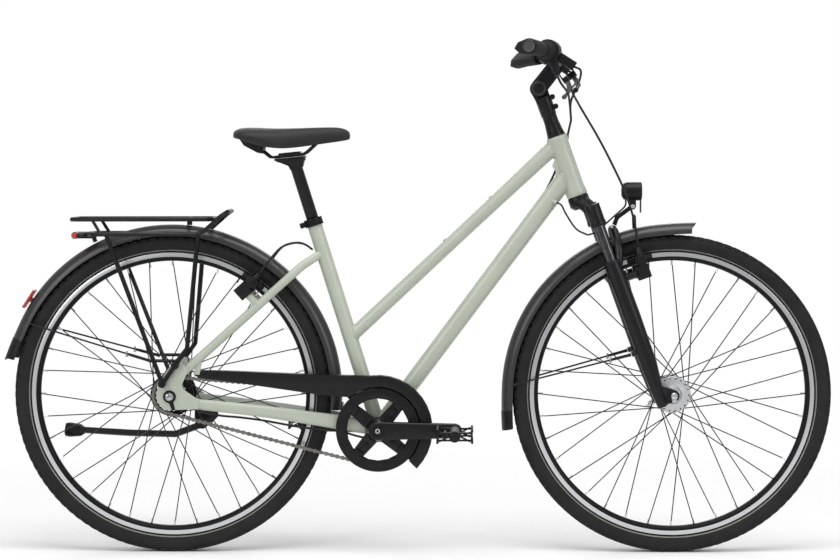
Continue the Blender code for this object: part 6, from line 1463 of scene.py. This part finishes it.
pins = chain_points()
line = bpy.data.meshes.new("chain_line")
line.from_pydata([(pin + before) / 2 for before, pin in zip(pins[-1:] + pins, pins)], [], [])
turns = [-math.atan2((pin - before).z, (pin - before).x) for before, pin in zip(pins[-1:] + pins, pins)]
line.attributes.new("turn", "FLOAT", "POINT").data.foreach_set("value", turns)
links = grown(
    chain_tree(), base=line, outer_link=link(*OUTER_LINK), inner_link=link(*INNER_LINK),
    material=CHAIN_STEEL,
)
place("chain_links", links, CHAIN_STEEL, "frame", 40, ("chain",))
print("links", len(pins))

# %% [markdown]
# ## Cranks and guard ring
# A plastic ring screwed over the teeth keeps trousers clean. It is stepped, with a raised rim
# inside and outside, and four lugs clip it to the spider. The crank is forged, then blackened,
# and its bolt is the one bright spot on it.

# %% Blocks with rounded edges
def block(size, centre, along=Vector((1, 0, 0)), edge=0.0008, segments=2):
    """A block with its length along a direction, its edges rounded by edge."""
    x_axis = Vector(along).normalized()
    z_axis = x_axis.cross(ACROSS).normalized()
    matrix = standing(x_axis, z_axis.cross(x_axis), z_axis, centre)
    graph = bmesh.new()
    bmesh.ops.create_cube(graph, size=1.0, matrix=matrix @ Matrix.Diagonal((*size, 1)))
    bmesh.ops.bevel(graph, geom=graph.edges[:], offset=edge, segments=segments, affect="EDGES", profile=0.5)
    return plain(graph)


# %% Guard ring and its lugs
SPIDER_ANGLE = math.radians(50)
SPIDER_ARMS = 4
GUARD_RING = (
    (0.0698, -0.0004), (0.0696, 0.0022), (0.0706, 0.0031), (0.0738, 0.0031), (0.0746, 0.0024),
    (0.0858, 0.0024), (0.0868, 0.0035), (0.0912, 0.0037), (0.0930, 0.0028), (0.0934, 0.0012),
    (0.0932, -0.0004),
)
LUG_BLOCKS = (  # size, radius, y
    ((0.0170, 0.0052, 0.0190), 0.0700, -0.0500),
    ((0.0200, 0.0030, 0.0120), 0.0480, -0.0490),
)
guard_parts = [turned(GUARD_RING, -ACROSS, BRACKET - ACROSS * 0.0487, 96, closed=True)]
for k in range(SPIDER_ARMS):
    angle = SPIDER_ANGLE + 2 * math.pi * k / SPIDER_ARMS
    outward = round_point(Vector(), 1, angle)
    for size, radius, y in LUG_BLOCKS:
        guard_parts.append(block(size, round_point(BRACKET, radius, angle, y), outward))
place("guard_ring", joined(guard_parts), BLACK_NYLON, "crankset", 40)


# %% Back plate of the chain guard
BAND_STEPS = 16


def band(centre, inner, outer, start, end):
    """The outline of a part of a ring, between two angles in degrees."""
    angles = [math.radians(start + (end - start) * k / BAND_STEPS) for k in range(BAND_STEPS + 1)]
    rims = [[round_point(centre, radius, angle) for angle in angles] for radius in (outer, inner)]
    return [(point.x, point.z) for point in rims[0] + rims[1][::-1]]


guard_back = flat_plate(band(BRACKET, 0.0860, 0.1010, 92, 134), -0.0358, -0.0345)
place("chain_guard_back", guard_back, BLACK_NYLON, "frame", 40)

# %% Crank bolts and their dust rings
CRANK_FACE = 0.0755
DUST_RING = (
    (0.0088, -0.004), (0.0088, 0.0006), (0.0105, 0.0014), (0.0150, 0.0014), (0.0166, 0.0002),
    (0.0166, -0.004),
)
CRANK_BOLT = (
    (0.0, -0.0016), (0.0030, -0.0016), (0.0030, 0.0006), (0.0058, 0.0006), (0.0066, -0.0004),
    (0.0066, -0.0030), (0.0, -0.0030),
)
BOLT_WASHER = ((0.0, -0.0022), (0.0080, -0.0022), (0.0084, -0.0028), (0.0, -0.0030))
for side, word in SIDES:
    face = BRACKET + ACROSS * side * CRANK_FACE
    dust_ring = turned(DUST_RING, ACROSS * side, face, 48, closed=True)
    bolt = [turned(CRANK_BOLT, ACROSS * side, face, 6), turned(BOLT_WASHER, ACROSS * side, face, 32)]
    place("crank_dust_ring_" + word, dust_ring, ANODISED, "crankset", 40)
    place("crank_bolt_" + word, joined(bolt), SILVER, "crankset", 40)

# %% [markdown]
# ## Pedals
# A trekking pedal is a cage round a bearing barrel: front and back plates with rows of teeth
# for grip, joined by struts that leave the cage open, so dirt falls through.

# %% Pedal cages
PEDAL_REACH = 0.0400
PEDAL_WIDTH = 0.0900
PEDAL_NEAR = 0.0898
CRANK_LENGTH = 0.1700
PLATE_INSET = 0.0030
TEETH_PER_ROW = 7
TOOTH_PITCH = 0.0128
BARREL = (
    (0, 0.0), (0.0115, 0.0), (0.0125, 0.0010), (0.0125, 0.0886), (0.0112, 0.0900), (0.0090, 0.0908),
    (0.0, 0.0908),
)
BARREL_CAP = ((0, 0.0905), (0.0070, 0.0905), (0.0070, 0.0918), (0.0058, 0.0924), (0, 0.0924))
SPINDLE = (
    (0, -0.0138), (0.0072, -0.0138), (0.0078, -0.0120), (0.0078, -0.0060), (0.0100, -0.0050),
    (0.0100, 0.001), (0, 0.001),
)


def pedal_cage(side):
    """Toothed plates, rails, slanting struts and bridges round a barrel, its cap and spindle."""
    centre = BRACKET + Vector((-side * CRANK_LENGTH, side * (PEDAL_NEAR + PEDAL_WIDTH / 2), 0))
    pieces = []
    for end in (-1, 1):
        spot = centre + Vector((end * (PEDAL_REACH - PLATE_INSET), 0, 0))
        pieces.append(block((0.0040, PEDAL_WIDTH, 0.0200), spot, edge=0.0010))
        for level in (-1, 1):
            for k in range(TEETH_PER_ROW):
                across = (k - TEETH_PER_ROW // 2) * TOOTH_PITCH
                tooth = spot + Vector((end * 0.0004, across, level * 0.0122))
                pieces.append(block((0.0052, 0.0062, 0.0066), tooth, segments=1))
    for edge in (-1, 1):
        rail_y = edge * (PEDAL_WIDTH / 2 - PLATE_INSET)
        for level in (-1, 1):
            rail = centre + Vector((0, rail_y, level * 0.0078))
            pieces.append(block((PEDAL_REACH * 2 - 0.004, 0.0052, 0.0040), rail))
            for end in (-1, 1):
                start = centre + Vector((end * 0.0130, rail_y, 0))
                finish = centre + Vector((end * 0.0340, rail_y, level * 0.0105))
                way = finish - start
                pieces.append(block((way.length, 0.0050, 0.0034), (start + finish) / 2, way, 0.0006, 1))
    for end in (-1, 0, 1):
        bridge = centre + Vector((end * 0.0210, 0, 0.0030))
        pieces.append(block((0.0050, PEDAL_WIDTH - 0.006, 0.0060), bridge, segments=1))
    near = centre - ACROSS * side * PEDAL_WIDTH / 2
    for profile, steps in ((BARREL, 32), (BARREL_CAP, 6), (SPINDLE, 24)):
        pieces.append(turned(profile, ACROSS * side, near, steps))
    return joined(pieces)


for side, word in SIDES:
    name = "pedal_" + word
    place("pedal_cage_" + word, pedal_cage(side), BLACK_NYLON, name, 35, (name,))

# %% [markdown]
# ## Fork
# Each leg slides up over a chromed stanchion, and a rubber wiper at its top keeps grit out.
# The stanchions turn with the crown and the wipers travel with the legs, so each of them
# rides on its own body.

# %% Stanchions, collars and wipers
LEG_AHEAD = 0.0200
LEG_SPREAD = 0.0580
STANCHION = ((0.0130, 0.0760), (0.0130, 0.1640))
COLLAR = (
    (0.0131, 0.0776), (0.0168, 0.0776), (0.0176, 0.0768), (0.0178, 0.0750), (0.0178, 0.0690),
    (0.0174, 0.0674), (0.0150, 0.0670),
)
WIPER_LIP = (
    (0.0131, 0.1578), (0.0146, 0.1578), (0.0150, 0.1582), (0.0164, 0.1584), (0.0168, 0.1592),
    (0.0168, 0.1604), (0.0131, 0.1604),
)
WIPER_SEAT = (
    (0.0150, 0.1602), (0.0178, 0.1602), (0.0186, 0.1612), (0.0187, 0.1640), (0.0180, 0.1652),
    (0.0150, 0.1652),
)


def fork_point(depth, ahead, y):
    """A place on the fork: down from the crown, ahead of the steering axis, and sideways."""
    return HEAD_BOTTOM + STEER_DOWN * depth + STEER_AHEAD * ahead + ACROSS * y


def on_both_legs(profile, closed=True):
    """The same turning on both legs."""
    tops = [fork_point(0.0, LEG_AHEAD, side * LEG_SPREAD) for side in (RIGHT, LEFT)]
    return [turned(profile, STEER_DOWN, top, 40, closed=closed) for top in tops]


stanchions = joined(on_both_legs(STANCHION, closed=False))
wipers = joined(on_both_legs(WIPER_LIP) + on_both_legs(WIPER_SEAT))
place("fork_stanchions", stanchions, STANCHION_CHROME, "steering", 40)
place("fork_crown_collars", joined(on_both_legs(COLLAR)), POWDER, "steering", 30)
place("fork_wipers", wipers, BLACK_NYLON, "suspension", 30)

# %% [markdown]
# ## Screws, washers and caps
# Small bright or dark heads tell the eye how the bicycle is put together: the rack is bolted
# to the dropouts, the stays end in sleeves, and two screws on each side hold the lamp.
# One helper makes a button head with its hexagon socket, and each set of heads is one piece.

# %% Button heads
def button_head(centre, direction, radius, height=0.0022):
    """A domed head with a six-sided socket."""
    bore = radius * 0.42
    dome = [
        (bore, height * 0.2), (bore, height), (radius * 0.70, height * 0.96),
        (radius * 0.92, height * 0.70), (radius, height * 0.30), (radius, -0.0004), (bore, -0.0004),
    ]
    corner, floor = radius * 0.46, height * 0.25
    socket = [(0.0, floor), (corner, floor), (corner, -0.0002), (0.0, -0.0002)]
    return joined([turned(dome, direction, centre, 24, closed=True), turned(socket, direction, centre, 6)])


# %% Rack bolts and lamp screws
RACK_BOLTS = (at(-0.0150, 0.3825), at(0.0140, 0.4240))
RACK_BOLT_FACE = 0.0886
RACK_WASHER = ((0.0060, -0.0004), (0.0086, -0.0004), (0.0086, -0.0020), (0.0060, -0.0020))
LAMP_SCREWS = (  # distance ahead, height, y, radius
    (1.0227, 0.7704, 0.0105, 0.0045),
    (0.9889, 0.7460, 0.0052, 0.0042),
)
heads, lamp_screws = [], []
for side in (RIGHT, LEFT):
    for spot in RACK_BOLTS:
        centre = spot + ACROSS * side * RACK_BOLT_FACE
        heads.append(button_head(centre, ACROSS * side, 0.0068))
        heads.append(turned(RACK_WASHER, ACROSS * side, centre, 32, closed=True))
    for x, z, y, radius in LAMP_SCREWS:
        lamp_screws.append(button_head(at(x, z, side * y), ACROSS * side, radius, 0.0020))
place("rack_bolt_heads", joined(heads), BLACK_NYLON, "frame", 35)
place("lamp_bracket_screws", joined(lamp_screws), SILVER, "suspension", 35)

# %% [markdown]
# The rear axle is clamped in a slanting slot of the dropout. A dark washer sits under each
# nut, and a thin dark block in the slot is painted shadow, as black as the slot's shade.

# %% Rear axle washers and painted slot shadow
AXLE_WASHER = (
    (0.0060, 0.0736), (0.0136, 0.0736), (0.0141, 0.0740), (0.0141, 0.0752), (0.0136, 0.0757),
    (0.0112, 0.0757), (0.0110, 0.0752), (0.0060, 0.0752),
)
SLOT_WAY = Vector((0.0075, 0, -0.0220))
washers_and_slot_shade = []
for side in (RIGHT, LEFT):
    washers_and_slot_shade.append(turned(AXLE_WASHER, ACROSS * side, REAR_AXLE, 40, closed=True))
    # A thin dark block in each slot is painted shadow: it stands where the slot is only in shade.
    slot_middle = REAR_AXLE + Vector((0.0060, side * 0.0700, -0.0190))
    washers_and_slot_shade.append(block((0.0230, 0.0050, 0.0104), slot_middle, SLOT_WAY, 0.0006, 1))
place("rear_axle_washers", joined(washers_and_slot_shade), BLACK_NYLON, "frame", 35)

# %% [markdown]
# A mudguard's stay is one bent wire. At the dropout or the fork leg its ends go into plastic
# sleeves, each with a small bright screw, and the sleeve points along the wire.

# %% Stay sleeves
STRUT_SHARE = 0.150  # how far up the rack's strut the rear stay starts
STAY_EDGE_RADIUS = 0.3551
STAY_EDGE_Y = 0.0259
STAY_KNEE = 0.55
SLEEVE_RADII = [0.0040, 0.0034, 0.0034, 0.0028]
SCREW_HEAD = (
    (0.0, 0.0036), (0.0026, 0.0036), (0.0032, 0.0028), (0.0032, -0.0030), (0.0, -0.0030),
)
SCREW_SHANK = ((0.0, 0.0020), (0.0022, 0.0020), (0.0022, -0.0060), (0.0, -0.0060))


def stay_end(foot, edge, side, length):
    """A sleeve over one end of a stay's wire, with its screw at the sleeve's end."""
    way = (edge.lerp(foot, STAY_KNEE) - foot).normalized()
    sleeve = [foot + way * reach for reach in (0.0, 0.010, length * 0.8, length)]
    for point in sleeve:
        point.y *= side
    spot = sleeve[-1] + Vector((-0.0006, side * 0.0006, -0.0040))
    screw = joined([
        turned(SCREW_HEAD, ACROSS * side, spot, 16),
        turned(SCREW_SHANK, -UPWARD, spot + UPWARD * 0.004, 12),
    ])
    return tube(sleeve, SLEEVE_RADII, 12), screw


strut_foot = at(-0.0150, 0.3825, 0.0796)
rear_foot = strut_foot.lerp(at(-0.1387, 0.7108, 0.0640), STRUT_SHARE) + Vector((-0.75, -0.66, 0)) * 0.0077
rear_edge = round_point(REAR_AXLE, STAY_EDGE_RADIUS, math.radians(153.5), STAY_EDGE_Y)
front_foot = fork_point(0.3680, -0.0073, LEG_SPREAD)
front_edge = round_point(FRONT_AXLE, STAY_EDGE_RADIUS, math.radians(176.6), STAY_EDGE_Y)
for name, body, foot, edge, length in (
    ("rear", "frame", rear_foot, rear_edge, 0.058), ("front", "suspension", front_foot, front_edge, 0.046),
):
    sleeves, screws = zip(*(stay_end(foot, edge, side, length) for side in (RIGHT, LEFT)))
    place(name + "_stay_sleeves", joined(sleeves), BLACK_NYLON, body, 40)
    place(name + "_stay_screws", joined(screws), SILVER, body, 40)

# %% [markdown]
# ## Cockpit details
# The stem tilts about a toothed joint that shows as a bright ring on each side. A grip ends in
# a hard cap with a raised rim, which also keeps the rubber from turning on the bar.

# %% Stem joint rings
STEM_PIVOT = at(0.8136, 1.0308)
JOINT_TEETH = 30
JOINT_RING = (
    (0.0118, 0.0196), (0.0150, 0.0196), (0.0154, 0.0200), (0.0154, 0.0212), (0.0150, 0.0216),
    (0.0118, 0.0218),
)
joint = []
for side in (RIGHT, LEFT):
    joint.append(turned(JOINT_RING, ACROSS * side, STEM_PIVOT, 48, closed=True))
    for k in range(JOINT_TEETH):
        angle = 2 * math.pi * k / JOINT_TEETH
        spot = round_point(STEM_PIVOT, 0.0150, angle, side * 0.0207)
        joint.append(block((0.0022, 0.0018, 0.0012), spot, round_point(Vector(), 1, angle), 0.0003, 1))
place("stem_joint_rings", joined(joint), DARK_STEEL, "stem", 40)

# %% Grip caps
BAR_CENTRE = at(0.8561, 1.0852)
SWEEP = math.radians(17.1)
BAR_RISE = 0.0236
GRIP_END = 0.2155
GRIP_CAP = (
    (0.0, 0.0004), (0.0092, 0.0004), (0.0100, 0.0012), (0.0124, 0.0014), (0.0132, 0.0008),
    (0.0134, -0.0010), (0.0, -0.0012),
)
caps = []
for side in (RIGHT, LEFT):
    heading = Vector((-math.sin(SWEEP), side * math.cos(SWEEP), BAR_RISE)).normalized()
    bend = BAR_CENTRE + Vector((-0.0099, side * 0.1000, 0.0196))
    caps.append(turned(GRIP_CAP, heading, bend + heading * GRIP_END, 40))
place("grip_end_caps", joined(caps), GUARD_PLASTIC, "stem", 35)

# %% [markdown]
# ## Floor and light
# The photograph is cut out on white. The floor is pale near the bicycle, so that it can hold
# a soft shadow, and fades to plain white further out. The white is only what the camera and
# the polished pieces see, and adds no light of its own.

# %% Floor
FLOOR_HALF = 2.1
FADE_FROM = 0.9
FADE_TO = 2.0


def studio_floor():
    """Matt near the bicycle, and plain white to the camera further out."""
    material = bpy.data.materials.new("pale_floor")
    material.use_nodes = True
    tree = material.node_tree
    tree.nodes.clear()
    place_in = add(tree, "ShaderNodeTexCoord").outputs["Object"]
    apart = add(tree, "ShaderNodeSeparateXYZ", {"Vector": place_in})
    flat = add(tree, "ShaderNodeCombineXYZ", {"X": apart.outputs["X"], "Y": apart.outputs["Y"]})
    distance = add(tree, "ShaderNodeVectorMath", {0: flat}, operation="LENGTH").outputs["Value"]
    fade = add(tree, "ShaderNodeMapRange", {"Value": distance},
               interpolation_type="SMOOTHSTEP", From_Min=FADE_FROM, From_Max=FADE_TO)
    rays = add(tree, "ShaderNodeLightPath").outputs
    seen = add(tree, "ShaderNodeMath", {0: rays["Is Camera Ray"], 1: rays["Is Glossy Ray"]},
               operation="MAXIMUM")
    seen = add(tree, "ShaderNodeMath", {0: seen, 1: rays["Is Transmission Ray"]}, operation="MAXIMUM")
    share = add(tree, "ShaderNodeMath", {0: fade, 1: seen}, operation="MULTIPLY")
    matt = add(tree, "ShaderNodeBsdfDiffuse", Color=linear("#F6F6F6"))
    white = add(tree, "ShaderNodeEmission", Color=(1, 1, 1, 1), Strength=1.0)
    mixed = add(tree, "ShaderNodeMixShader", {0: share, 1: matt, 2: white})
    add(tree, "ShaderNodeOutputMaterial", {"Surface": mixed})
    # The white is for the eye alone, so the renderer takes no light samples from it.
    material.cycles.emission_sampling = "NONE"
    return material


floor_mesh = bpy.data.meshes.new("floor")
corners = [(x * FLOOR_HALF, y * FLOOR_HALF, 0) for x, y in ((-1, -1), (1, -1), (1, 1), (-1, 1))]
floor_mesh.from_pydata(corners, [], [(0, 1, 2, 3)])
floor_mesh.materials.append(studio_floor())
floor = bpy.data.objects.new("floor", floor_mesh)
bpy.context.scene.collection.objects.link(floor)
floor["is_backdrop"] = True
print("floor", 2 * FLOOR_HALF, "m square")

# %% [markdown]
# The world gives an even, weak light from all round, and shows plain white to the camera.
# Four large soft boxes lay long, soft highlights along the tubes, as studio flashes do.

# %% World
WORLD_LIGHT = 0.55

world = bpy.data.worlds.new("studio")
bpy.context.scene.world = world
world.use_nodes = True
sky = world.node_tree
sky.nodes.clear()
rays = add(sky, "ShaderNodeLightPath").outputs
seen = add(sky, "ShaderNodeMath", {0: rays["Is Camera Ray"], 1: rays["Is Transmission Ray"]},
           operation="MAXIMUM")
level = add(sky, "ShaderNodeMapRange", {"Value": seen}, To_Min=WORLD_LIGHT, To_Max=1.0)
glow = add(sky, "ShaderNodeBackground", {"Strength": level}, Color=(1, 1, 1, 1))
add(sky, "ShaderNodeOutputWorld", {"Surface": glow})

# %% Soft boxes
SOFT_BOXES = (  # name, place, the point it faces, size, watts
    ("overhead", (0.2, -0.8, 3.2), (0, 0, 0.5), (3.2, 1.6), 62),
    ("front_left", (-2.6, -3.0, 2.0), (0, 0, 0.6), (1.6, 2.0), 38),
    ("front_right", (3.0, -2.4, 1.8), (0, 0, 0.6), (1.2, 1.8), 24),
    ("behind", (0.0, 3.2, 2.2), (0, 0, 0.7), (2.4, 1.2), 22),
)
for name, stand, target, size, power in SOFT_BOXES:
    lamp = bpy.data.lights.new(name, "AREA")
    lamp.shape = "RECTANGLE"
    lamp.size, lamp.size_y = size
    lamp.energy = power
    soft_box = bpy.data.objects.new(name, lamp)
    bpy.context.scene.collection.objects.link(soft_box)
    soft_box.location = stand
    soft_box.rotation_euler = (Vector(target) - Vector(stand)).to_track_quat("-Z", "Y").to_euler()
bpy.context.scene.view_settings.view_transform = "Standard"
print("soft boxes", len(SOFT_BOXES))

# %% Sizes, before and after dressing
dressed_box = [list(corner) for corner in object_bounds()]
for word, corner, other in zip(("lowest", "highest"), cad_box, dressed_box):
    print(word, [round(v, 4) for v in corner], "dressed", [round(v, 4) for v in other])
